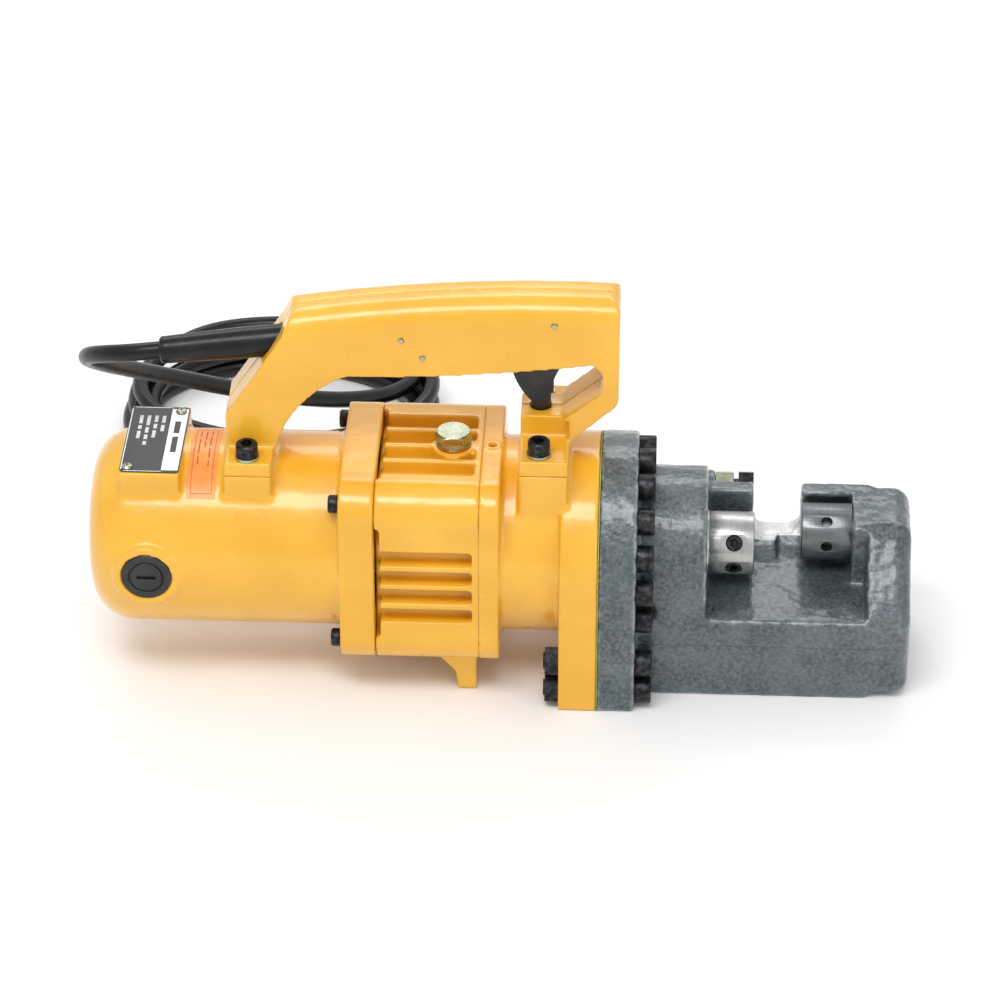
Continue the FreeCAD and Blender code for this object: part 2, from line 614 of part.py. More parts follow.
def pump():
    gear_height = "motor_height - gear_mesh"
    roller_top = f"{gear_height} - eccentric_offset + roller_radius"
    lower = block(("block_back", "pump_front"), (-26, 26), ("motor_height - 36", "motor_height + 30"))
    upper = block(("plunger_x - 9", "block_back"), (-12, 12), ("motor_height + 3", "motor_height + 30"))
    bore = rod("plunger_radius + fit_gap", ("plunger_x", 0, "motor_height - 10"), 32, "Z")
    pocket = rod("block_bearing_radius", ("block_back - 1", 0, gear_height), 10)
    channel = rod("2.5", ("block_back + 12", 0, "ram_height"), 40)
    valve_holes = [rod("5.1", ("block_back - 1", y, "motor_height + 20"), 15) for y in (-15, 15)]
    node(cut(join(lower, upper), bore, pocket, channel, *valve_holes, name="pump_block"), "pump_block")
    lift = f"{roller_top} + 2 * eccentric_offset + loose_gap"
    plunger = turned([("0", "0"), ("0", "7"), ("3", "7"), ("3", "plunger_radius"), ("26", "plunger_radius"),
                      ("26", "0")], at=("plunger_x", 0, lift), along="Z", name="pump_plunger")
    node(plunger, "pump_plunger")
    spring = coil_spring("6.3", "0.7", 5, ("plunger_x", 0, f"{lift} + 3.2"), "11", "Z", "plunger_spring")
    node(spring, "plunger_spring")
    valves = []
    for y in (-15, 15):
        valves.append(turned([("0", "0"), ("0", "5"), ("-9", "5"), ("-9", "3.5"), ("-14", "3.5"),
                              ("-14", "0")],
                             at=("block_back + 14", y, "motor_height + 20"), along="X", name="valve"))
    node(group(*valves, name="check_valves"), "check_valves")
    bag = common(rod("pump_bore - 1.5", ("pump_back + 8", 0, "motor_height"), 40),
                 block((-300, -100), (28, 60), (0, 200)), name="oil_bladder")
    node(bag, "oil_bladder")


# ---------------------------------------------------------------- housings
def pump_housing():
    outside = rounded_square("pump_back", "middle_back", "rim_half", "rim_round", "motor_height",
                             "pump_case")
    lower, upper = "motor_height - rim_half - 1", "motor_height + rim_half - fin_depth"
    right, left = "-rim_half - 1", "rim_half - fin_depth"
    fins = ("pump_back - 1", "middle_back - 4")
    vent = ("pump_back - 1", "pump_back + vent_gap")
    grooves = []
    for floor_of in (lower, upper):
        deep = (floor_of, f"{floor_of} + fin_depth + 1")
        grooves += [block(fins, (f"{y} - top_groove", f"{y} + top_groove"), deep) for y in TOP_GROOVES]
        grooves.append(block(vent, ("-vent_half", "vent_half"), deep))
    for floor_of in (right, left):
        deep = (floor_of, f"{floor_of} + fin_depth + 1")
        for z in SIDE_GROOVES:
            middle = f"motor_height + {z}"
            grooves.append(block(fins, deep, (f"{middle} - side_groove", f"{middle} + side_groove")))
        grooves.append(block(vent, deep, ("motor_height - vent_half", "motor_height + vent_half")))
    finned = cut(outside, *grooves, name="finned_case")
    filler_boss = rod("12.5", ("filler_x", 0, "motor_height + 40"), "20.4", "Z")
    leg = prism("XZ", [("middle_back - 2", "24"), ("middle_back - 2", "0"), ("middle_back - 13", "0"),
                       ("middle_back - 14.5", "12"), ("middle_back - 25", "24")], "-foot_half", "foot_half", "leg")
    arch = prism("YZ", [("-26", "-1"), ("26", "-1"), ("22", "14"), ("-22", "14")],
                 "middle_back - 40", "middle_back", "leg_arch")
    solid = join(finned, filler_boss, cut(leg, arch), name="pump_case_solid")
    cavity = rod("pump_bore", ("pump_back - 1", 0, "motor_height"),
                 "middle_back - pump_back - pump_wall + 1")
    holes = [cavity, rod("filler_hole", ("filler_x", 0, "motor_height + 30"), 40, "Z")]
    holes.append(rod("2.5", ("middle_back - 20", 0, "ram_height"), 30))
    for y, z in rim_screw_spots():
        holes.append(rod("3.1", ("pump_back - 1", y, z), 18))
    return node(cut(solid, *holes, name="pump_housing"), "pump_housing")


def cylinder_housing():
    back_flange = rounded_square("middle_back", "neck_back", "rim_half", "rim_round", "motor_height",
                                 "back_flange")
    neck = rod("neck_radius", ("neck_back - 1", 0, "motor_height"), "flange_back - neck_back + 2")
    flange = prism("YZ", flange_outline(), "flange_back", "joint_face - gasket_thickness", "joint_flange")
    pad = block(("front_foot_back", "flange_back + 4"), ("-front_foot_half", "front_foot_half"),
                ("motor_height", "front_pad_top"), "front_pad")
    solid = join(back_flange, neck, flange, pad, name="cylinder_case")
    tools = [rod("cylinder_radius", ("cylinder_back", 0, "ram_height"), "joint_face - cylinder_back + 1"),
             rod("2.5", ("middle_back - 1", 0, "ram_height"), 20),
             rod("tap_radius", ("tap_x", 0, "motor_height + rim_half - tap_depth"), 20, "Z")]
    tap_rim = cut(rod("tap_radius + 1.8", ("tap_x", 0, "motor_height + rim_half - 1"), 2, "Z"),
                  rod("tap_radius", ("tap_x", 0, "motor_height + rim_half - 2"), 4, "Z"))
    for side in ("", "-"):
        screw = ("front_screw_x", f"{side}front_screw_side", "front_pad_top - 14")
        tools.append(rod("foot_screw_radius", screw, 20, "Z"))
    for y, z in head_bolt_spots():
        tools.append(rod("bolt_radius + 0.1", ("joint_face - 19", y, z), 30))
    for y, z in low_bolt_spots():
        tools.append(rod("bolt_radius + 0.1", ("flange_back - 1", y, z), 30))
    hollow = cut(solid, *tools, name="cylinder_hollow")
    return node(join(hollow, tap_rim, name="cylinder_housing"), "cylinder_housing")


def head_gasket():
    sheet = prism("YZ", flange_outline(), "joint_face - gasket_thickness", "joint_face", "gasket_sheet")
    tools = [rod("cylinder_radius + 1", ("joint_face - 2", 0, "ram_height"), 4)]
    for y, z in head_bolt_spots():
        tools.append(rod("bolt_radius + 0.3", ("joint_face - 2", y, z), 4))
    return node(cut(sheet, *tools, name="head_gasket"), "head_gasket")


def cutter_head():
    flange = prism("YZ", flange_outline(), "joint_face", "head_front", "head_flange")
    neck = rod("head_neck_radius", ("head_front - 1", 0, "ram_height"), "pocket_back - head_front + 1")
    barrel = rod("head_half", ("head_front - 1", 0, "ram_height"), "nose_front - head_front + 1")
    keel = block(("head_front - 1", "nose_front"), ("-head_half", "head_half"), (0, "ram_height"), "keel")
    keel_part = join(barrel, keel, name="head_bar")
    deck = block(("pocket_back", "nose_front + 1"), (-80, 80), ("deck_height", "deck_height + 60"), "deck_cut")
    stop_boss = rod("stop_boss_radius", ("-60", "stop_side", "stop_height"), 23)
    stop_web = block((-60, -37), (30, "stop_side"), ("stop_height - 12", "stop_height + 8"), "stop_web")
    body = join(cut(keel_part, deck), neck, flange, stop_boss, stop_web, name="head_body")
    pocket = prism("YZ", [("-80", "51"), ("14", "56.5"), ("24", "63"), ("32", "74"), ("32", "140"),
                          ("-80", "140")], "pocket_back", "arm_back", "jaw_pocket")
    flare = prism("YZ", [("-80", "51"), ("-6", "55.3"), ("-6", "140"), ("-80", "140")],
                  "arm_back - 1", "arm_back + 9", "jaw_flare")
    slope = prism("YZ", [("-80", "18.5"), ("-3.4", "95"), ("-3.4", "140"), ("-80", "140")],
                  "arm_back - 1", "nose_front + 1", "arm_slope")
    seat = rod("fixed_radius + 5", (0, "fixed_side", "ram_height"), "arm_back")
    tools = [pocket, flare, slope, seat]
    tools.append(rod("spring_pocket", ("joint_face - 1", 0, "ram_height"), "pocket_step - joint_face + 1"))
    tools.append(rod("rod_radius + fit_gap", ("pocket_step - 1", 0, "ram_height"),
                     "pocket_back - pocket_step + 2"))
    tools.append(rod("24", ("-60", 0, "ram_height"), 6))
    tools.append(bar_slot())
    tools.append(rod("8.05", ("arm_back - 1", "fixed_side", "ram_height"), 18))
    tools.append(rod("stop_bolt_radius + fit_gap", (-59, "stop_side", "stop_height"), 30))
    for y, z in head_bolt_spots():
        tools.append(rod("bolt_radius + 0.3", ("joint_face - 1", y, z), 30))
        tools.append(rod("bolt_head_radius + 0.4", ("head_front", y, z), "bolt_head_height + 1"))
    return node(cut(body, *tools, name="cutter_head"), "cutter_head")


def bar_slot():
    slot = prism("XZ", [("-gap_half", "slot_floor"), ("gap_half", "slot_floor"), ("gap_half", "150"),
                        ("-gap_half", "150")], "26", "50", "bar_slot")
    return rounded(slot, "slot_round", lambda e: runs_along(e, 1) and near(e.CenterOfMass.z, "slot_floor"))


# ---------------------------------------------------------------- ram and cutters
def ram_parts():
    centre = (0, 0, "ram_height")
    ram = turned([("piston_back", "0"), ("piston_back", "cylinder_radius - fit_gap"),
                  ("piston_back + 6", "cylinder_radius - fit_gap"), ("piston_back + 6", "27"),
                  ("piston_back + 12", "27"), ("piston_back + 12", "cylinder_radius - fit_gap"),
                  ("piston_front", "cylinder_radius - fit_gap"), ("piston_front", "rod_radius"),
                  ("pocket_back + 1", "rod_radius"), ("pocket_back + 1", "spigot_radius"),
                  ("pocket_back + 21", "spigot_radius"), ("pocket_back + 21", "0")], at=centre, name="ram")
    node(ram, "ram")
    seal = turned([("piston_back + 6.1", "27.05"), ("piston_back + 6.1", "cylinder_radius - fit_gap"),
                   ("piston_back + 11.9", "cylinder_radius - fit_gap"), ("piston_back + 11.9", "27.05")],
                  at=centre, name="piston_seal")
    node(seal, "piston_seal")
    rod_seal = turned([(-59.9, "rod_radius + fit_gap"), (-59.9, 23.95), (-54.1, 23.95),
                       (-54.1, "rod_radius + fit_gap")], at=centre, name="rod_seal")
    node(rod_seal, "rod_seal")
    spring = coil_spring("25.5", "2", 8, ("piston_front + 0.1", 0, "ram_height"),
                         "pocket_step - piston_front - 0.2", "X", "return_spring")
    node(spring, "return_spring")


def screw_in_block(radius, spot, degrees, side_y, name):
    """A set screw pointing out of a round cutter block, on the -Y side, degrees above level."""
    screw = grub_screw("4.9", 8, name)
    spun = copy_at(screw, rotation=Rotation(Vector(1, 0, 0), -degrees) * Rotation(Vector(0, 0, 1), -90))
    reach = f"({radius} - 0.3)"
    for axis, text in (("x", spot), ("y", f"{side_y} - {reach} * cos({degrees})"),
                       ("z", f"ram_height + {reach} * sin({degrees})")):
        spun.setExpression(f"Placement.Base.{axis}", formula(text))
    return spun


def radial_hole(hole_radius, spot, degrees, side_y, from_radius, length):
    hole = rod(hole_radius, (0, 0, 0), length, "-Y")
    direction = Rotation(Vector(1, 0, 0), -degrees)
    hole.Placement = Placement(Vector(0, 0, 0), direction * ALONG["-Y"])
    for axis, text in (("x", spot), ("y", f"{side_y} - {from_radius} * cos({degrees})"),
                       ("z", f"ram_height + {from_radius} * sin({degrees})")):
        hole.setExpression(f"Placement.Base.{axis}", formula(text))
    return hole


def cutters():
    back, front = "pocket_back + 1", "-gap_half"
    moving = turned([(back, "spigot_radius + fit_gap"), (back, "cutter_radius"),
                     (f"{front} - 0.6", "cutter_radius"), (front, "cutter_radius - 0.6"), (front, "0"),
                     (f"{front} - 7", "0"), (f"{front} - 7", "spigot_radius + fit_gap")],
                    at=(0, 0, "ram_height"), name="moving_block")
    holes = [radial_hole("5", "cutter_screw_x", angle, "0", "7", 20) for angle in CUTTER_SCREW_ANGLES]
    node(cut(moving, *holes, name="movable_cutter"), "movable_cutter")
    screws = [screw_in_block("cutter_radius", "cutter_screw_x", angle, "0", "cutter_screw")
              for angle in CUTTER_SCREW_ANGLES]
    node(group(*screws, name="movable_cutter_screws"), "movable_cutter_screws")
    fixed = turned([("gap_half", "0"), ("gap_half", "fixed_radius - 0.6"),
                    ("gap_half + 0.6", "fixed_radius"), ("arm_back", "fixed_radius"), ("arm_back", "8"),
                    ("arm_back + 16", "8"), ("arm_back + 16", "0")],
                   at=(0, "fixed_side", "ram_height"), name="fixed_block")
    holes = [radial_hole("3.4", "29", angle, "fixed_side", "9", 20) for angle in (52, 0)]
    node(cut(fixed, *holes, name="fixed_cutter"), "fixed_cutter")


def stop_bolt():
    centre = (0, "stop_side", "stop_height")
    shank = turned([(-57, "0"), (-57, "stop_bolt_radius - 1"), (-56, "stop_bolt_radius"),
                    (-23, "stop_bolt_radius"), (-23, "0")], at=centre, name="stop_shank")
    head = hexagon(22, (-23, "stop_side", "stop_height"), 9, name="stop_head")
    node(join(shank, head, name="stop_bolt"), "stop_bolt")
    nut = hexagon(22, (-37, "stop_side", "stop_height"), 11, name="stop_nut_blank")
    bore = rod("stop_bolt_radius + fit_gap", (-38, "stop_side", "stop_height"), 13)
    node(cut(nut, bore, name="stop_nut"), "stop_nut")


# ---------------------------------------------------------------- fasteners and small trim
def fasteners():
    bolt = socket_screw("bolt_head_radius", "bolt_head_height", "bolt_radius", "40", "head_bolt")
    long_bolt = socket_screw("bolt_head_radius", "bolt_head_height", "bolt_radius", "54", "long_head_bolt")
    bolts = []
    for index, (y, z) in enumerate(head_bolt_spots()):
        source = bolt if index < len(HEAD_BOLT_ANGLES) else long_bolt
        bolts.append(copy_at(source, "head_front", y, z))
    node(group(*bolts, name="head_bolts"), "head_bolts")
    nuts = []
    for y, z in low_bolt_spots():
        nut_hole = rod("bolt_radius + 0.1", ("flange_back - 9", y, z), 10)
        nuts.append(cut(hexagon(16, ("flange_back - 8", y, z), 8), nut_hole))
    node(group(*nuts, name="flange_nuts"), "flange_nuts")
    rim_screw = socket_screw("5.4", "6", "3", "32", "rim_screw")
    backwards = Rotation(Vector(0, 0, 1), 180)
    screws = [copy_at(rim_screw, "rim_back", y, z, backwards) for y, z in rim_screw_spots()]
    node(group(*screws, name="cover_screws"), "cover_screws")
    foot_screw = socket_screw("6.5", "8", "foot_screw_radius - 0.1", "20", "foot_screw")
    upright = Rotation(Vector(0, 1, 0), -90)
    screws = [copy_at(foot_screw, x, y, f"{z} + 2", upright) for x, y, z in foot_screw_spots()]
    node(group(*screws, name="handle_screws"), "handle_screws")
    washers = [turned([("0", "4.2"), ("0", "7.2"), ("2", "7.2"), ("2", "4.2")], at=spot, along="Z")
               for spot in foot_screw_spots()]
    node(group(*washers, name="handle_washers"), "handle_washers")


def oil_plug():
    top = "motor_height + 60.4"
    washer = turned([("0", "6.2"), ("0", "10.5"), ("1.5", "10.5"), ("1.5", "6.2")],
                    at=("filler_x", 0, top), along="Z")
    node(washer, "oil_plug_washer")
    stem = turned([("-15", "0"), ("-15", "5"), ("-14", "6"), ("1.5", "6"), ("1.5", "10.4"), ("2.6", "10.4"),
                   ("2.6", "0")], at=("filler_x", 0, top), along="Z")
    crown = common(hexagon(19, ("filler_x", 0, f"{top} + 2.6"), 7, "Z"),
                   turned([("2.6", "0"), ("2.6", "11.2"), ("8", "11.2"), ("9.6", "9.4"), ("9.6", "0")],
                          at=("filler_x", 0, top), along="Z"))
    node(join(stem, crown, name="oil_plug"), "oil_plug")


def labels():
    spots = label_screw_spots()
    plate = rounded_plate("label_back", "label_front", "label_half")
    holes = [rod("1.6", (x, y, "pad_top - 1"), 3, "Z") for x, y in spots]
    node(cut(plate, *holes, name="label_plate"), "label_plate")
    screws = []
    for x, y in spots:
        blank = turned([("-5", "0"), ("-5", "1.4"), ("0.6", "1.4"), ("0.6", "3.4"), ("1.4", "3.2"),
                        ("2.2", "2.2"), ("2.5", "0")], at=(x, y, "pad_top"), along="Z")
        cross = [block((f"{x} - {a}", f"{x} + {a}"), (f"{y} - {b}", f"{y} + {b}"),
                       ("pad_top + 1.2", "pad_top + 4")) for a, b in ((1.7, 0.35), (0.35, 1.7))]
        screws.append(cut(blank, *cross))
    node(group(*screws, name="label_screws"), "label_screws")
    band = turned([("label_front + 4", "cover_radius"), ("label_front + 4", "cover_radius + 0.2"),
                   ("label_front + 21", "cover_radius + 0.2"), ("label_front + 21", "cover_radius")],
                  at=(0, 0, "motor_height"))
    sector = prism("YZ", [("0", "motor_height"), ("-140 * sin(42)", "motor_height + 140 * cos(42)"),
                          ("0", "motor_height + 190"), ("140 * sin(22)", "motor_height + 140 * cos(22)")],
                   "-360", "-320", "sticker_sector")
    node(common(band, sector, name="info_sticker"), "info_sticker")


def rounded_plate(back, front, half):
    body = doc.addObject("PartDesign::Body", "plate_blank")
    sketch = drawn(body, "XY", [(back, f"-{half}"), (front, f"-{half}"), (front, half), (back, half)])
    sketch.setExpression("AttachmentOffset.Base.z", formula("pad_top"))
    pad = body.newObject("PartDesign::Pad", "pad")
    pad.Profile = sketch
    bind(pad, Length="0.6")
    return rounded(body, "3", lambda edge: runs_along(edge, 2))


# ---------------------------------------------------------------- handle and controls
def grip_top_at(x):
    """Height of the grip's slightly crowned top line."""
    return f"grip_top - grip_arc + sqrt(grip_arc ^ 2 - (({x}) - grip_crown) ^ 2)"


GRIP_OUTLINE = [
    ("-285", grip_top_at("-285")), ("-190", grip_top_at("-190"), "via"), ("-95.5", grip_top_at("-95.5")),
    ("-95.5", "184"), ("-124", "158"), ("-124", "149.3"), ("-152.5", "149.3"), ("-152.5", "172.5"),
    ("-128.5", "172.5"), ("-105", "192"), ("-105", "205"), ("-111", "210.5"), ("-180", "202.5", "via"),
    ("-254", "199"), ("-281", "178.5", "via"), ("-296", "146"), ("-297", "141.5"), ("-324", "141.5"),
    ("-324", "172"), ("-291", "223"),
]


def handle_half():
    """The -Y half of the handle; its flat face lies on the plane y = 0."""
    blank = prism("XZ", GRIP_OUTLINE, "-grip_half", "0", "grip_blank")
    rounded(blank, "7", lambda e: runs_along(e, 1) and e.CenterOfMass.z > 230)
    rounded(blank, "9", lambda e: runs_along(e, 1) and near(e.CenterOfMass.z, "184"))
    crown = prism("XZ", [("-340", grip_top_at("-340")), ("-200", grip_top_at("-200"), "via"),
                         ("-80", grip_top_at("-80")), ("-80", "130"), ("-340", "130")], "-grip_half", "0", "crown")
    rounded(crown, "13", lambda e: near(e.CenterOfMass.y, "-grip_half") and e.CenterOfMass.z > 230)
    blank = common(blank, crown, name="grip_shell")
    post_trim = block((-153, -124.5), ("-grip_half - 1", "-post_half"), (159.3, 173), "post_trim")
    cavity = prism("XZ", [("-262", "207"), ("-262", "230"), ("-170", "240"), ("-112", "242"),
                          ("-112", "216"), ("-180", "208")], "5 - grip_half", "1", "grip_cavity")
    trigger_slot = block((-161, -127), (-10, 1), (195, 222), "trigger_slot")
    stem_hole = rod("stem_radius + 0.15", ("trigger_x", 0, 156), 30, "Z")
    cord_way = rod("boot_root_radius - 2", (-300, 0, "boot_height"), 45, "X")
    boot_seat = boot_rod("boot_root_radius + 0.05", -20, 34)
    rear_foot = block(("rear_foot_back + 1", "rear_foot_front"), ("-rear_foot_half", 0),
                      ("pad_top", "rear_foot_top"))
    front_foot = block(("front_foot_back", "front_foot_front"), ("-front_foot_half", 0),
                       ("front_pad_top", "front_foot_top"))
    solid = join(cut(blank, post_trim), rear_foot, front_foot)
    holes = [cavity, trigger_slot, stem_hole, cord_way, boot_seat]
    for end, below in (("rear", "pad_top"), ("front", "front_pad_top")):
        screw = (f"{end}_screw_x", f"-{end}_screw_side", f"{below} - 1")
        holes.append(rod("foot_screw_radius + 0.5", screw, 12, "Z"))
    for x, z in HANDLE_PINS:
        holes.append(rod("1.6", (x, -30, z), 31, "Y"))
    return cut(solid, *holes, name="handle_right")


HANDLE_PINS = [(-221.2, 224.5), (-208.8, 213.1), (-133, 236.3)]


def boot_rod(radius, start, length):
    """A rod along the tilted line of the cable boot, start counted outwards from its root."""
    piece = bind(doc.addObject("Part::Cylinder", "boot_rod"), Radius=radius, Height=length)
    tilt = number("boot_tilt")
    piece.Placement = Placement(Vector(0, 0, 0), Rotation(Vector(0, 1, 0), -90 - tilt))
    piece.setExpression("Placement.Base.x", formula(f"boot_start - ({start}) * cos(boot_tilt)"))
    piece.setExpression("Placement.Base.z", formula(f"boot_height - ({start}) * sin(boot_tilt)"))
    return piece


def handle():
    half = node(handle_half(), "handle_right")
    node(mirrored(half, "handle_left"), "handle_left")
    pins = [rod("1.5", (x, -19.3, z), 38.6, "Y") for x, z in HANDLE_PINS]
    node(group(*pins, name="handle_pins"), "handle_pins")


def trigger_group():
    bell = prism("XZ", [("-158", "212"), ("-158", "203"), ("-153", "189", "via"), ("-146.5", "180"),
                        ("-135.5", "180"), ("-134", "192", "via"), ("-129.5", "203"), ("-129.5", "212")],
                 "-8.5", "8.5", "trigger_bell")
    stem = rod("stem_radius", ("trigger_x", 0, 158), 26, "Z")
    node(join(bell, stem, name="trigger"), "trigger")
    node(coil_spring("4", "0.5", 4, (-150, 0, "212.1"), "9.8", "Z", "trigger_spring"), "trigger_spring")
    body = block((-176, -122), (-11, 11), (222, 233.5), "switch_case")
    plunger_hole = rod("3.1", (-136, 0, 220), 9, "Z")
    node(cut(body, plunger_hole, name="switch_body"), "switch_body")
    node(rod("3", (-136, 0, 212.4), 10, "Z", "switch_plunger"), "switch_plunger")


# ---------------------------------------------------------------- cord and plug
BOOT_TIP = (-362.4, 0, 203.5)
CORD_ROUTE = [
    BOOT_TIP, (-382.2, 0, 200.9), (-399, 9, 194.5), (-410, 24, 184), (-412, 44, 169.5), (-405, 69, 151),
    (-390, 97, 130), (-367, 126, 107), (-337, 154, 83), (-303, 181, 61), (-270, 208, 43),
    (-243, 237, 31), (-229, 268, 27),
]
TAIL_ROUTE = [(-409, 216, 6), (-399, 190, 7), (-380, 168, 9), (-354, 153, 12.5), (-325, 146, 16.5)]
COIL_CENTRE = (-316, 250)
COIL_OUTER = (108, 83)
COIL_INNER = (80, 55)
COIL_HEIGHT = 32
PLUG_START = TAIL_ROUTE[-1]


def bent_line(points):
    """Straight runs joined by tangent arcs, each as large as its two runs allow."""
    spots = [Vector(*point) for point in points]
    edges = []
    radii = []
    last = spots[0]
    for before, corner, after in zip(spots, spots[1:], spots[2:]):
        back = (before - corner).normalize()
        forward = (after - corner).normalize()
        half_turn = (math.pi - back.getAngle(forward)) / 2
        trim = 0.45 * min((before - corner).Length, (after - corner).Length)
        radius = trim / math.tan(half_turn)
        radii.append(radius)
        bisector = (back + forward).normalize()
        centre_distance = radius / math.cos(half_turn)
        arc_start = corner + back * trim
        arc_end = corner + forward * trim
        arc_middle = corner + bisector * (centre_distance - radius)
        edges.append(Part.LineSegment(last, arc_start).toShape())
        edges.append(Part.Arc(arc_start, arc_middle, arc_end).toShape())
        last = arc_end
    edges.append(Part.LineSegment(last, spots[-1]).toShape())
    return Part.Wire(edges), radii


def bent_tube(points, name):
    radius = number("cord_radius")
    line, radii = bent_line(points)
    start = Vector(*points[0])
    direction = Vector(*points[1]) - start
    section = Part.Wire(Part.makeCircle(radius, start, direction))
    tube = line.makePipeShell([section], True, True)
    expected = math.pi * radius ** 2 * line.Length
    print(name, "length", round(line.Length, 1), "radii", [round(value) for value in radii],
          "volume ratio", round(tube.Volume / expected, 4))
    feature = doc.addObject("Part::Feature", name)
    feature.Shape = tube
    return node(feature, name)


def ellipse_plate(half_sizes, height, name):
    """An upright elliptical plate standing on the floor at the coil's centre."""
    ring = doc.addObject("Part::Ellipse", name)
    ring.MajorRadius, ring.MinorRadius = half_sizes
    ring.Placement = Placement(Vector(*COIL_CENTRE, 0), Rotation())
    plate = doc.addObject("Part::Extrusion", name + "_plate")
    plate.Base = ring
    plate.DirMode = "Custom"
    plate.Dir = Vector(0, 0, 1)
    plate.LengthFwd = height
    plate.Solid = True
    return plate


def cord():
    boot = turned([("-20", "0"), ("-20", "boot_root_radius"), ("26", "boot_root_radius - 0.1"),
                   ("boot_length - 1", "boot_tip_radius"), ("boot_length", "boot_tip_radius - 1"),
                   ("boot_length", "0")], name="cable_boot")
    boot.Placement = Placement(Vector(0, 0, 0), Rotation(Vector(0, 1, 0), -number("boot_tilt"))
                               * Rotation(Vector(0, 0, 1), 180))
    boot.setExpression("Placement.Base.x", formula("boot_start"))
    boot.setExpression("Placement.Base.z", formula("boot_height"))
    node(boot, "cable_boot")
    bent_tube(CORD_ROUTE, "cord_run")
    bent_tube(TAIL_ROUTE, "cord_tail")
    outer = ellipse_plate(COIL_OUTER, COIL_HEIGHT, "coil_outside")
    inner = ellipse_plate(COIL_INNER, COIL_HEIGHT + 1, "coil_inside")
    node(cut(outer, inner, name="cord_coil"), "cord_coil")
    x, y, z = PLUG_START
    heading = Vector(*TAIL_ROUTE[-1]) - Vector(*TAIL_ROUTE[-2])
    heading.z = 0
    yaw = math.degrees(math.atan2(heading.y, heading.x))
    body = turned([("0", "0"), ("0", "7"), ("16", "8.5"), ("20", "13"), ("38", "15.5"), ("47", "16"),
                   ("50", "14"), ("50", "0")], at=PLUG_START, name="plug_body")
    spun = Rotation(Vector(0, 0, 1), yaw)
    body.Placement = Placement(Vector(0, 0, 0), spun)
    node(body, "plug_body")
    pins = []
    for side in (-9.5, 9.5):
        root = Vector(x, y, z) + spun.multVec(Vector(0, side, 0))
        pin = turned([("50", "0"), ("50", "2.4"), ("68", "2.4"), ("69", "1.4"), ("69", "0")],
                     at=tuple(root))
        pin.Placement = Placement(Vector(0, 0, 0), spun)
        pins.append(pin)
    node(group(*pins, name="plug_pins"), "plug_pins")


# ---------------------------------------------------------------- build, check and write
def build():
    motor_cover()
    motor_fixed_parts()
    armature()
    gears()
    bearings()
    pump()
    pump_housing()
    cylinder_housing()
    head_gasket()
    cutter_head()
    ram_parts()
    cutters()
    stop_bolt()
    fasteners()
    oil_plug()
    labels()
    handle()
    trigger_group()
    cord()


def check_and_write():
    doc.recompute()
    faults = []
    for item in doc.Objects:
        if any(state in item.State for state in ("Invalid", "Error")):
            faults.append(f"{item.Name} ({item.Label}): {item.State}")
    for piece in NODES:
        shape = piece.Shape
        if shape.isNull() or not shape.isValid() or not shape.Solids:
            faults.append(f"{piece.Label}: shape is null, not valid or has no solid")
    if faults:
        raise SystemExit("\n".join(faults))
    os.makedirs("parts", exist_ok=True)
    for piece in NODES:
        box = piece.Shape.BoundBox
        print(f"{piece.Label:28s} solids {len(piece.Shape.Solids):2d}",
              f"cm3 {piece.Shape.Volume / 1000:8.2f}",
              f"x {box.XMin:7.1f} {box.XMax:7.1f}", f"y {box.YMin:6.1f} {box.YMax:6.1f}",
              f"z {box.ZMin:6.1f} {box.ZMax:6.1f}")
        piece.Shape.exportStep(f"parts/{piece.Label}.step")


build()
check_and_write()
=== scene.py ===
"""Looks of the portable rebar cutter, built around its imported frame. Everything is in metres."""
import json
import math

import bmesh
import bpy
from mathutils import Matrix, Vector, noise


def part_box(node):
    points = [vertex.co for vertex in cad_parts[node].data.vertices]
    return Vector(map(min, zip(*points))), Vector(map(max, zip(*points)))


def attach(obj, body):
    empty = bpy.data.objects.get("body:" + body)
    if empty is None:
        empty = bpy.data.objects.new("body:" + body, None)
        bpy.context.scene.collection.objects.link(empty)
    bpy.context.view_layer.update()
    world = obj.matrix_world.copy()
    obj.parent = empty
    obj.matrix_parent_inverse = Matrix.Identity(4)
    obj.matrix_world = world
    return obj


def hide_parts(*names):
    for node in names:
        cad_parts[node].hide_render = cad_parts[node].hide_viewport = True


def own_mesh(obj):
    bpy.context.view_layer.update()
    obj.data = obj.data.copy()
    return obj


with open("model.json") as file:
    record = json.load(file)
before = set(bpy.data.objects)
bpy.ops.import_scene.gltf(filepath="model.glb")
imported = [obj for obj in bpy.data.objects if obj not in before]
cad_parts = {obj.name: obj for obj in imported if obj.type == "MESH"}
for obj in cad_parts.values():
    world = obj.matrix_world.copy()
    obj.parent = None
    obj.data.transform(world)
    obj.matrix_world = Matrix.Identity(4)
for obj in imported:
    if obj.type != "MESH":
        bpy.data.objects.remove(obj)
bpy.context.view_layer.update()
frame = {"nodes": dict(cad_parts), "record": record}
NODES = frame["nodes"]
MM = 0.001


# ---------------------------------------------------------------- camera
VIEW_AZIMUTH = math.radians(2.5)
VIEW_ELEVATION = math.radians(33)
VIEW_DISTANCE = 2.6
VIEW_TARGET = Vector((-0.165, 0, 0.105))
LENS = 158


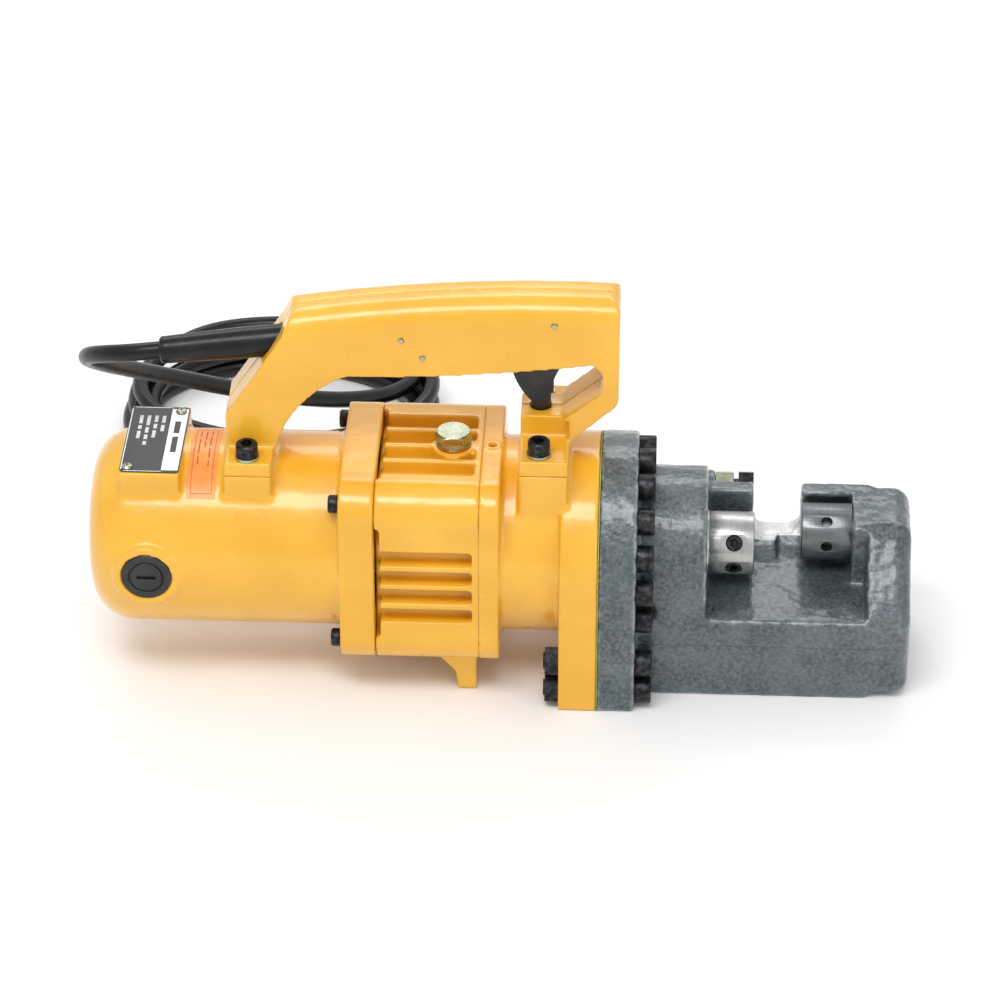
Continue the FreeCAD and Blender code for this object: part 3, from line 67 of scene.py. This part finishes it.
def camera():
    data = bpy.data.cameras.new("camera")
    data.lens = LENS
    data.clip_end = 20
    eye = bpy.data.objects.new("camera", data)
    bpy.context.scene.collection.objects.link(eye)
    back = Vector((math.sin(VIEW_AZIMUTH) * math.cos(VIEW_ELEVATION),
                   -math.cos(VIEW_AZIMUTH) * math.cos(VIEW_ELEVATION), math.sin(VIEW_ELEVATION)))
    eye.location = VIEW_TARGET + back * VIEW_DISTANCE
    eye.rotation_mode = "QUATERNION"
    eye.rotation_quaternion = (-back).to_track_quat("-Z", "Y")
    bpy.context.scene.camera = eye


# ---------------------------------------------------------------- the cord
# routes, coil sizes and heights are in metres, angles in degrees
CORD_RADIUS = 5.25 * MM
CORD_ROUTE = [
    (-.3624, 0, .2035), (-.3822, 0, .2009), (-.399, .009, .1945), (-.410, .024, .184),
    (-.412, .044, .1695), (-.405, .069, .151), (-.390, .097, .130), (-.367, .126, .107),
    (-.337, .154, .083), (-.303, .181, .061), (-.270, .208, .043), (-.243, .237, .031),
    (-.229, .268, .027),
]
TAIL_ROUTE = [
    (-.409, .216, .006), (-.399, .190, .007), (-.380, .168, .009), (-.354, .153, .0125),
    (-.325, .146, .0165),
]
COIL_CENTRE = Vector((-.316, .250))
COIL_AXES = (.0945, .0695)
COIL_PITCH = .0112
COIL_STEPS = 16
COIL_START = 34
COIL_END = 4 * 360 + 190
# layers from the top down: where each ends in degrees, its height, its first and last pitch, its shift
COIL_LAYERS = [
    (480, .0272, -.5, .75, (-.002, .003)),
    (1060, .0164, .75, -.85, (.002, -.002)),
    (COIL_END, .0056, -.85, .75, (0, 0)),
]
LAYER_BLEND = 60


def coil_state(degrees):
    """Height, pitch offset and shift of the coil at an angle counted on from its first turn."""
    start = 0
    for index, (end, height, first, last, shift) in enumerate(COIL_LAYERS):
        if degrees <= end or index == len(COIL_LAYERS) - 1:
            share = min(1, max(0, (degrees - start) / (end - start)))
            offset = first + (last - first) * share
            before = COIL_LAYERS[max(index - 1, 0)]
            ease = min(1, max(0, (degrees - start) / LAYER_BLEND))
            ease = ease * ease * (3 - 2 * ease)
            height = before[1] + (height - before[1]) * ease
            shift = Vector(before[4]) + (Vector(shift) - Vector(before[4])) * ease
            return height, offset, shift
        start = end


def coil_points():
    points = []
    count = round((COIL_END - COIL_START) / 360 * COIL_STEPS)
    for step in range(count + 1):
        degrees = COIL_START + (COIL_END - COIL_START) * step / count
        angle = math.radians(degrees)
        height, offset, shift = coil_state(degrees)
        reach = [axis + COIL_PITCH * offset for axis in COIL_AXES]
        points.append((COIL_CENTRE.x + shift.x + reach[0] * math.cos(angle),
                       COIL_CENTRE.y + shift.y + reach[1] * math.sin(angle), height))
    return points


def cord():
    data = bpy.data.curves.new("cord", "CURVE")
    data.dimensions = "3D"
    data.bevel_depth = CORD_RADIUS
    data.bevel_resolution = 6
    data.resolution_u = 6
    data.use_fill_caps = True
    points = CORD_ROUTE + coil_points() + TAIL_ROUTE
    line = data.splines.new("NURBS")
    line.points.add(len(points) - 1)
    for point, place in zip(line.points, points):
        point.co = (*place, 1)
    line.order_u = 3
    line.use_endpoint_u = True
    piece = bpy.data.objects.new("mains_cord", data)
    bpy.context.scene.collection.objects.link(piece)
    data.materials.append(MATERIALS["black_rubber"])
    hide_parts("cord_run", "cord_coil", "cord_tail")
    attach(piece, "tool")


# ---------------------------------------------------------------- material tools
class Surface:
    """A principled material whose colour, roughness and relief come from noise in frame coordinates."""

    def __init__(self, name, colour, roughness=0.4, metallic=0.0, coat=0.0, coat_roughness=0.1):
        self.material = bpy.data.materials.new(name)
        self.material.use_nodes = True
        self.tree = self.material.node_tree
        self.shader = self.tree.nodes["Principled BSDF"]
        self.shader.inputs["Base Color"].default_value = (*colour, 1)
        self.shader.inputs["Roughness"].default_value = roughness
        self.shader.inputs["Metallic"].default_value = metallic
        self.shader.inputs["Coat Weight"].default_value = coat
        self.shader.inputs["Coat Roughness"].default_value = coat_roughness
        self.place = self.add("ShaderNodeTexCoord").outputs["Object"]
        self.relief = None

    def add(self, kind, **settings):
        made = self.tree.nodes.new(kind)
        for key, value in settings.items():
            setattr(made, key, value)
        return made

    def link(self, source, target):
        self.tree.links.new(source, target)

    def calculate(self, operation, first, second):
        """The outcome of a Math node on two numbers or sockets."""
        made = self.add("ShaderNodeMath", operation=operation)
        for socket, value in zip(made.inputs, (first, second)):
            if isinstance(value, (int, float)):
                socket.default_value = value
            else:
                self.link(value, socket)
        return made.outputs[0]

    def stretched(self, stretch):
        mapping = self.add("ShaderNodeMapping")
        mapping.inputs["Scale"].default_value = stretch
        self.link(self.place, mapping.inputs["Vector"])
        return mapping.outputs[0]

    def noise(self, grain, detail=4, stretch=(1, 1, 1)):
        """Noise whose grains are about that size in metres."""
        made = self.add("ShaderNodeTexNoise")
        made.inputs["Scale"].default_value = 1 / grain
        made.inputs["Detail"].default_value = detail
        self.link(self.stretched(stretch), made.inputs["Vector"])
        return made.outputs["Fac"]

    def ramp(self, source, low, high, first=0.0, last=1.0):
        made = self.add("ShaderNodeMapRange")
        for key, value in (("From Min", low), ("From Max", high), ("To Min", first), ("To Max", last)):
            made.inputs[key].default_value = value
        self.link(source, made.inputs["Value"])
        return made.outputs[0]

    def blend_colour(self, share, first, second):
        """Two colours, or an earlier blend and a colour, mixed by a share from 0 to 1."""
        made = self.add("ShaderNodeMix", data_type="RGBA")
        for socket, colour in ((made.inputs["A"], first), (made.inputs["B"], second)):
            colour_sockets = [s for s in made.inputs if s.name == socket.name and s.type == "RGBA"]
            if isinstance(colour, tuple):
                colour_sockets[0].default_value = (*colour, 1)
            else:
                self.link(colour, colour_sockets[0])
        self.link(share, made.inputs["Factor"])
        return [s for s in made.outputs if s.type == "RGBA"][0]

    def colour_from(self, source):
        self.link(source, self.shader.inputs["Base Color"])

    def roughness_from(self, source):
        self.link(source, self.shader.inputs["Roughness"])

    def bump(self, height, depth):
        """Relief from a height of 0 to 1, depth metres tall. Calls add up."""
        made = self.add("ShaderNodeBump")
        made.inputs["Strength"].default_value = 1
        made.inputs["Distance"].default_value = depth
        self.link(height, made.inputs["Height"])
        if self.relief:
            self.link(self.relief, made.inputs["Normal"])
        self.relief = made.outputs["Normal"]
        self.link(self.relief, self.shader.inputs["Normal"])

    def axis(self, letter):
        made = self.add("ShaderNodeSeparateXYZ")
        self.link(self.place, made.inputs[0])
        return made.outputs[letter]

    def between(self, source, low, high):
        return self.calculate("MULTIPLY", self.calculate("GREATER_THAN", source, low),
                              self.calculate("LESS_THAN", source, high))

    def inside(self, low, high):
        """1 inside a box of the frame and 0 outside it."""
        share = 1.0
        for letter, start, end in zip("XYZ", low, high):
            share = self.calculate("MULTIPLY", self.between(self.axis(letter), start, end), share)
        return share


# ---------------------------------------------------------------- materials
def yellow_paint():
    """Thick gloss enamel over a sand casting: faint lumps, orange peel and slow changes of tone."""
    made = Surface("yellow_enamel", (.80, .42, .022), 0.33, coat=0.6, coat_roughness=0.12)
    tone = made.ramp(made.noise(.045, 3), .35, .65)
    made.colour_from(made.blend_colour(tone, (.76, .385, .017), (.83, .44, .027)))
    made.roughness_from(made.ramp(made.noise(.012, 4), .3, .7, .26, .40))
    made.bump(made.noise(.009, 3), .00035)
    made.bump(made.noise(.0016, 2), .00004)
    return made.material


# the machined bar slot and the height of the casting's parting line, in metres
BAR_SLOT = ((-.0146, .0252, .0642), (.0146, .047, .12))
PARTING_HEIGHT = .036
PARTING_WIDTH = .0012


def cast_iron():
    """Grey paint over a rough steel casting, its edges lightened by bare-metal edge wear and a painted
    highlight, and bright bare metal in the bar slot.
    """
    made = Surface("grey_casting", (.10, .13, .14), 0.34, metallic=0.45, coat=0.7, coat_roughness=0.16)
    patches = made.ramp(made.noise(.02, 5), .38, .62)
    grain = made.ramp(made.noise(.0022, 6), .35, .65)
    painted = made.blend_colour(patches, (.034, .050, .058), (.080, .105, .114))
    speckled = made.blend_colour(made.calculate("MULTIPLY", grain, .55), painted, (.19, .22, .23))
    # painted highlight and edge wear: sharp edges (high pointiness) are lightened towards grey bare metal
    # in noisy patches, partly real wear and partly a painted highlight on the rims
    edge = made.add("ShaderNodeNewGeometry").outputs["Pointiness"]
    edge_wear_and_highlight = made.calculate("MULTIPLY", made.ramp(edge, .515, .56), made.ramp(made.noise(.006, 4), .35, .6))
    with_edge_wear_and_highlight = made.blend_colour(edge_wear_and_highlight, speckled, (.46, .49, .48))
    slot = made.inside(*BAR_SLOT)
    made.colour_from(made.blend_colour(slot, with_edge_wear_and_highlight, (.68, .69, .68)))
    made.roughness_from(made.ramp(made.noise(.003, 5), .3, .7, .3, .58))
    made.bump(made.noise(.006, 5), .0009)
    made.bump(made.noise(.0013, 5), .00035)
    parting = made.calculate("ABSOLUTE", made.calculate("SUBTRACT", made.axis("Z"), PARTING_HEIGHT), 0)
    made.bump(made.ramp(parting, 0, PARTING_WIDTH, 1, 0), .0005)
    return made.material


def machined(name, colour, roughness, stretch, depth=.00002, tone=0.82):
    """Turned or ground steel, its tool marks drawn out along one direction."""
    made = Surface(name, colour, roughness, metallic=1.0)
    marks = made.noise(.004, 6, stretch)
    dark = tuple(part * tone for part in colour)
    made.colour_from(made.blend_colour(made.ramp(marks, .35, .65), dark, colour))
    smudges = made.noise(.009, 4)
    made.roughness_from(made.ramp(smudges, .3, .7, roughness * .8, roughness * 1.35))
    made.bump(marks, depth)
    return made.material


def black_oxide():
    made = Surface("black_oxide", (.022, .023, .026), 0.36, metallic=0.75)
    tone = made.ramp(made.noise(.003, 5), .4, .65)
    made.colour_from(made.blend_colour(tone, (.012, .012, .014), (.05, .052, .056)))
    made.roughness_from(made.ramp(made.noise(.0018, 4), .3, .7, .28, .5))
    made.bump(made.noise(.0009, 3), .00003)
    return made.material


def zinc_plate():
    made = Surface("zinc_plate", (.72, .74, .66), 0.22, metallic=1.0)
    tint = made.ramp(made.noise(.006, 3), .35, .65)
    made.colour_from(made.blend_colour(tint, (.33, .38, .27), (.50, .50, .38)))
    made.roughness_from(made.ramp(made.noise(.0025, 4), .3, .7, .16, .34))
    made.bump(made.noise(.0012, 3), .00002)
    return made.material


def black_rubber():
    made = Surface("black_rubber", (.008, .008, .009), 0.30, coat=0.1, coat_roughness=0.2)
    made.shader.inputs["Specular IOR Level"].default_value = .3
    dust = made.ramp(made.noise(.014, 5), .5, .75)
    made.colour_from(made.blend_colour(dust, (.004, .004, .005), (.012, .012, .014)))
    made.roughness_from(made.ramp(made.noise(.004, 4), .3, .7, .24, .38))
    made.bump(made.noise(.0012, 3), .00003)
    return made.material


def black_plastic():
    made = Surface("black_plastic", (.014, .014, .015), 0.4)
    tone = made.ramp(made.noise(.01, 3), .4, .6)
    made.colour_from(made.blend_colour(tone, (.010, .010, .011), (.020, .020, .022)))
    made.roughness_from(made.ramp(made.noise(.0015, 3), .3, .7, .34, .5))
    made.bump(made.noise(.0005, 2), .00003)
    return made.material


def gasket_sheet():
    made = Surface("gasket_sheet", (.36, .42, .10), 0.7)
    fibres = made.ramp(made.noise(.0012, 5), .4, .6)
    made.colour_from(made.blend_colour(fibres, (.26, .34, .07), (.46, .48, .13)))
    made.bump(made.noise(.0008, 3), .00004)
    return made.material


def sticker_film():
    made = Surface("sticker_film", (.88, .27, .035), 0.42, coat=0.2)
    fade = made.ramp(made.noise(.01, 3), .35, .65)
    made.colour_from(made.blend_colour(fade, (.86, .25, .03), (.92, .32, .06)))
    made.bump(made.noise(.003, 2), .00003)
    return made.material


def flat_print(name, first, second, roughness, metallic=0.0):
    """Printed or anodised film with a slight unevenness of tone."""
    made = Surface(name, first, roughness, metallic=metallic)
    made.colour_from(made.blend_colour(made.ramp(made.noise(.003, 4), .35, .65), first, second))
    made.bump(made.noise(.0008, 3), .00001)
    return made.material


def laminated_steel():
    made = Surface("laminated_steel", (.16, .17, .18), 0.45, metallic=0.9)
    sheets = made.calculate("FRACT", made.calculate("MULTIPLY", made.axis("X"), 1 / .0005), 0)
    made.colour_from(made.blend_colour(sheets, (.08, .085, .09), (.24, .25, .26)))
    made.bump(sheets, .00006)
    return made.material


def copper_wire():
    made = Surface("copper_wire", (.55, .20, .06), 0.3, metallic=0.9, coat=0.5)
    turns = made.noise(.001, 2, (.12, 1, 1))
    made.colour_from(made.blend_colour(made.ramp(turns, .4, .6), (.40, .13, .04), (.68, .28, .10)))
    made.bump(turns, .0002)
    return made.material


def every_material():
    return {
        "yellow_paint": yellow_paint(),
        "cast_steel": cast_iron(),
        "bright_steel": machined("bright_steel", (.50, .50, .49), .30, (8, .3, .3)),
        "ground_steel": machined("ground_steel", (.20, .21, .215), .36, (6, .4, .4), .00003),
        "black_oxide": black_oxide(),
        "zinc_plate": zinc_plate(),
        "laminations": laminated_steel(),
        "copper": copper_wire(),
        "brass": machined("turned_brass", (.78, .55, .20), .3, (.4, .4, 6)),
        "carbon": flat_print("pressed_carbon", (.03, .03, .03), (.06, .06, .06), .6),
        "spring_steel": machined("spring_wire", (.40, .41, .43), .35, (1, 1, 1)),
        "bare_aluminium": machined("milled_aluminium", (.70, .71, .72), .38, (.5, 5, 1)),
        "label_metal": flat_print("label_black", (.010, .010, .011), (.018, .018, .020), .35),
        "label_silver": flat_print("label_silver", (.62, .64, .65), (.72, .74, .75), .3, .85),
        "label_ink": flat_print("label_ink", (.55, .56, .57), (.68, .69, .70), .45),
        "sticker": sticker_film(),
        "sticker_ink": flat_print("sticker_ink", (.30, .045, .02), (.36, .07, .03), .5),
        "gasket": gasket_sheet(),
        "black_plastic": black_plastic(),
        "black_rubber": black_rubber(),
    }


def dress(piece, material):
    piece.data.materials.clear()
    piece.data.materials.append(MATERIALS[material])


def dress_nodes():
    """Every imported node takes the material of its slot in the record."""
    for row in frame["record"]["subparts"]:
        dress(NODES[row["node"]], row["material_slot"])


# ---------------------------------------------------------------- castings
VOXEL = 1.25 * MM


def copy_of(node, suffix):
    piece = bpy.data.objects.new(node + suffix, NODES[node].data.copy())
    bpy.context.scene.collection.objects.link(piece)
    return piece


def settle(piece):
    """The piece's modifiers become its mesh."""
    depsgraph = bpy.context.evaluated_depsgraph_get()
    mesh = bpy.data.meshes.new_from_object(piece.evaluated_get(depsgraph))
    piece.modifiers.clear()
    piece.data = mesh


NOSE_ROUND = 10 * MM
SMALLEST_ROUND = .1 * MM
NOSE_START, NOSE_FULL = 47 * MM, 62 * MM
# the faces that bound the nose of the head: outward normal, distance from the frame's origin
NOSE_FACES = [
    (Vector((1, 0, 0)), .079), (Vector((0, -1, 0)), .0457), (Vector((0, 1, 0)), .0457),
    (Vector((0, 0, -1)), 0), (Vector((0, 0, 1)), .095), (Vector((0, -1, 1)).normalized(), .0696),
]


def rounded_nose(place):
    """A point of the head, drawn in where it lies on a corner or an edge of the nose."""
    share = min(1, max(0, (place.x - NOSE_START) / (NOSE_FULL - NOSE_START)))
    radius = NOSE_ROUND * share * share * (3 - 2 * share)
    if radius < SMALLEST_ROUND:
        return place
    core = place.copy()
    for _ in range(3):
        for normal, distance in NOSE_FACES:
            core -= normal * max(0, core.dot(normal) - distance + radius)
    out = place - core
    return core + out.normalized() * radius if out.length > radius else place


def casting(node, slot, voxel=VOXEL, turns=3, lumps=0.0, lump_size=.01, shape=None):
    """A packed casting with its edges rounded and its faces uneven, as sand and paint leave them."""
    piece = copy_of(node, "_casting")
    skin = piece.modifiers.new("skin", "REMESH")
    skin.mode = "VOXEL"
    skin.voxel_size = voxel
    skin.use_smooth_shade = True
    soften = piece.modifiers.new("soften", "SMOOTH")
    soften.iterations = turns
    settle(piece)
    if lumps:
        normals = [vertex.normal.copy() for vertex in piece.data.vertices]
        places = [vertex.co.copy() for vertex in piece.data.vertices]
        if shape:
            places = [shape(place) for place in places]
        moved = [place + normal * noise.fractal(place / lump_size, 1.0, 2.0, 3) * lumps
                 for place, normal in zip(places, normals)]
        piece.data.vertices.foreach_set("co", [part for place in moved for part in place])
    dress(piece, slot)
    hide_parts(node)
    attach(piece, "tool")
    return piece


def castings():
    casting("motor_cover", "yellow_paint", 1.5 * MM, lumps=.12 * MM, lump_size=.02)
    casting("pump_housing", "yellow_paint", turns=2, lumps=.12 * MM, lump_size=.015)
    casting("cylinder_housing", "yellow_paint", lumps=.15 * MM, lump_size=.02)
    casting("cutter_head", "cast_steel", turns=10, lumps=.35 * MM, lump_size=.008,
            shape=rounded_nose)
    casting("handle_left", "yellow_paint", 1 * MM, lumps=.1 * MM, lump_size=.02)
    casting("handle_right", "yellow_paint", 1 * MM, lumps=.1 * MM, lump_size=.02)


# ---------------------------------------------------------------- turned and moulded parts
# bevel widths in millimetres
SHARP_EDGES = {
    "head_bolts": .3, "flange_nuts": .3, "cover_screws": .25, "handle_screws": .25, "handle_washers": .15,
    "oil_plug": .3, "oil_plug_washer": .15, "stop_bolt": .35, "stop_nut": .3, "brush_caps": .4,
    "movable_cutter": .4, "fixed_cutter": .4, "movable_cutter_screws": .2, "ram": .4, "trigger": .5,
    "label_plate": .1, "label_screws": .08, "handle_pins": .12, "cable_boot": .5, "plug_body": .8,
    "plug_pins": .3,
}


def break_edges():
    """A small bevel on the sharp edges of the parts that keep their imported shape."""
    for node, width in SHARP_EDGES.items():
        piece = NODES[node]
        weld = piece.modifiers.new("weld", "WELD")
        weld.merge_threshold = .01 * MM
        bevel = piece.modifiers.new("broken_edges", "BEVEL")
        bevel.width = width * MM
        bevel.segments = 2
        bevel.limit_method = "ANGLE"
        bevel.angle_limit = math.radians(35)
        bevel.harden_normals = True


# ---------------------------------------------------------------- springs, copied in spring wire
def springs():
    for node, joint, axis, anchor, keep in (
        ("return_spring", "ram_slide", (1, 0, 0), (-.0651, 0, .0785), .64),
        ("plunger_spring", "plunger_slide", (0, 0, 1), (-.223, 0, .0859), .73),
        ("trigger_spring", "trigger_slide", (0, 0, 1), (-.150, 0, .2219), .39),
    ):
        piece = copy_of(node, "_wire")
        dress(piece, "spring_steel")
        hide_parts(node)
        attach(piece, "tool")
        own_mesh(piece)


# ---------------------------------------------------------------- printed labels
def new_piece(name, mesh, material):
    piece = bpy.data.objects.new(name, mesh)
    bpy.context.scene.collection.objects.link(piece)
    dress(piece, material)
    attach(piece, "tool")
    return piece


def slab(shape, low, high):
    """A thin closed block added to a bmesh."""
    corners = [shape.verts.new((x, y, z)) for z in (low[2], high[2])
               for x, y in ((low[0], low[1]), (high[0], low[1]), (high[0], high[1]), (low[0], high[1]))]
    shape.faces.new(corners[3::-1])
    shape.faces.new(corners[4:])
    for side in range(4):
        after = (side + 1) % 4
        shape.faces.new((corners[side], corners[after], corners[4 + after], corners[4 + side]))


def finished(shape, name):
    mesh = bpy.data.meshes.new(name)
    shape.to_mesh(mesh)
    shape.free()
    return mesh


# rows of print on the label: distance from the plate's rear edge and the marks' lengths, in metres
LABEL_ROWS = [(.0060, (.009, .004, .008)), (.0105, (.011, .006, .005, .004)),
              (.0150, (.007, .005, .008)), (.0195, (.008, .007))]
ROW_START = .010
MARK_GAP = .0022
MARK_WIDTH = .0021
INK = .00006
# the two bars of the label's title and the gap between them
TITLE_BARS = (.013, .017)
TITLE_GAP = .004


def label():
    """Black plate with a silver border and strip, and plain bars where the data would be printed."""
    low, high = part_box("label_plate")
    top = high.z
    edge = .0011
    strip = high.x - .0105
    silver = bmesh.new()
    for box in (((low.x + .0006, low.y + .0025), (low.x + edge, high.y - .0025)),
                ((low.x + .0025, low.y + .0006), (strip, low.y + edge)),
                ((low.x + .0025, high.y - edge), (strip, high.y - .0006)),
                ((strip, low.y + .0022), (high.x - .0008, high.y - .0022))):
        slab(silver, (*box[0], top - INK), (*box[1], top + INK))
    new_piece("label_silver", finished(silver, "label_silver"), "label_silver")
    ink = bmesh.new()
    for distance, marks in LABEL_ROWS:
        y = high.y - ROW_START
        for length in marks:
            slab(ink, (low.x + distance, y - length, top - INK),
                 (low.x + distance + MARK_WIDTH, y, top + INK))
            y -= length + MARK_GAP
    new_piece("label_ink", finished(ink, "label_ink"), "label_ink")
    title = bmesh.new()
    y = high.y - .016
    for length in TITLE_BARS:
        slab(title, (strip + .003, y - length, top), (strip + .0065, y, top + 2 * INK))
        y -= length + TITLE_GAP
    new_piece("label_title", finished(title, "label_title"), "label_metal")


STICKER_AXIS_HEIGHT = .083
STICKER_RADIUS = .0577
# where the printed frame starts and ends, in degrees from the top towards the near side
PRINT_FIRST, PRINT_LAST = -18, 39
FRAME_INSET = .0022
FRAME_LINE = .00035
ROW_LINE = .0007
# each row's bars, in degrees along the film
STICKER_ROWS = ((9, 14, 6), (12, 5), (5, 11, 8, 4))


def curved_bar(shape, x_low, x_high, first, last):
    """A thin bar wrapped round the motor cover from one angle to another, in degrees from the top."""
    steps = max(2, math.ceil(abs(last - first) / 3))
    rings = []
    for step in range(steps + 1):
        angle = math.radians(first + (last - first) * step / steps)
        ring = []
        for x, radius in ((x_low, STICKER_RADIUS - INK), (x_high, STICKER_RADIUS - INK),
                          (x_high, STICKER_RADIUS + INK), (x_low, STICKER_RADIUS + INK)):
            ring.append(shape.verts.new((x, -radius * math.sin(angle),
                                         STICKER_AXIS_HEIGHT + radius * math.cos(angle))))
        rings.append(ring)
    for before, after in zip(rings, rings[1:]):
        for side in range(4):
            shape.faces.new((before[side], before[(side + 1) % 4], after[(side + 1) % 4], after[side]))
    shape.faces.new(rings[0][::-1])
    shape.faces.new(rings[-1])


def sticker():
    """Plain frame and rows of bars on the orange film."""
    low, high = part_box("info_sticker")
    ink = bmesh.new()
    for x in (low.x + FRAME_INSET, high.x - FRAME_INSET - FRAME_LINE):
        curved_bar(ink, x, x + FRAME_LINE, PRINT_FIRST, PRINT_LAST)
    for angle in (PRINT_FIRST, PRINT_LAST - .4):
        curved_bar(ink, low.x + FRAME_INSET, high.x - FRAME_INSET, angle, angle + .4)
    for row, marks in enumerate(STICKER_ROWS):
        x = low.x + .0048 + .0032 * row
        angle = PRINT_FIRST + 3
        for length in marks:
            curved_bar(ink, x, x + ROW_LINE, angle, angle + length)
            angle += length + 2.5
    mesh = finished(ink, "sticker_ink")
    new_piece("sticker_ink", mesh, "sticker_ink")


# ---------------------------------------------------------------- floor and light
FLOOR_SIZE = 8
FLOOR_HEIGHT = -.0004
WORLD_STRENGTH = .75
# name, place, size along and across, power in watts
LIGHTS = [
    ("key", (-.5, -1.0, 2.1), (1.6, .7), 26),
    ("fill", (1.4, -1.5, .9), (1.0, 1.0), 5),
    ("rim", (-.3, 1.6, 1.6), (2.0, .6), 12),
]


def area_light(name, spot, size, power):
    data = bpy.data.lights.new(name, "AREA")
    data.shape = "RECTANGLE"
    data.size, data.size_y = size
    data.energy = power
    lamp = bpy.data.objects.new(name, data)
    bpy.context.scene.collection.objects.link(lamp)
    lamp.location = spot
    lamp.rotation_mode = "QUATERNION"
    lamp.rotation_quaternion = (VIEW_TARGET - Vector(spot)).to_track_quat("-Z", "Y")


def studio():
    bpy.ops.mesh.primitive_plane_add(size=FLOOR_SIZE, location=(0, 0, FLOOR_HEIGHT))
    floor = bpy.context.object
    floor.name = "floor"
    pale = Surface("pale_floor", (.9, .9, .9), .7)
    floor.data.materials.append(pale.material)
    world = bpy.data.worlds.new("studio")
    world.use_nodes = True
    world.node_tree.nodes["Background"].inputs["Color"].default_value = (1, 1, 1, 1)
    world.node_tree.nodes["Background"].inputs["Strength"].default_value = WORLD_STRENGTH
    bpy.context.scene.world = world
    for light in LIGHTS:
        area_light(*light)
    bpy.context.scene.view_settings.view_transform = "Standard"


# ---------------------------------------------------------------- the whole scene
camera()
MATERIALS = every_material()
cord()
dress_nodes()
castings()
break_edges()
springs()
label()
sticker()
studio()
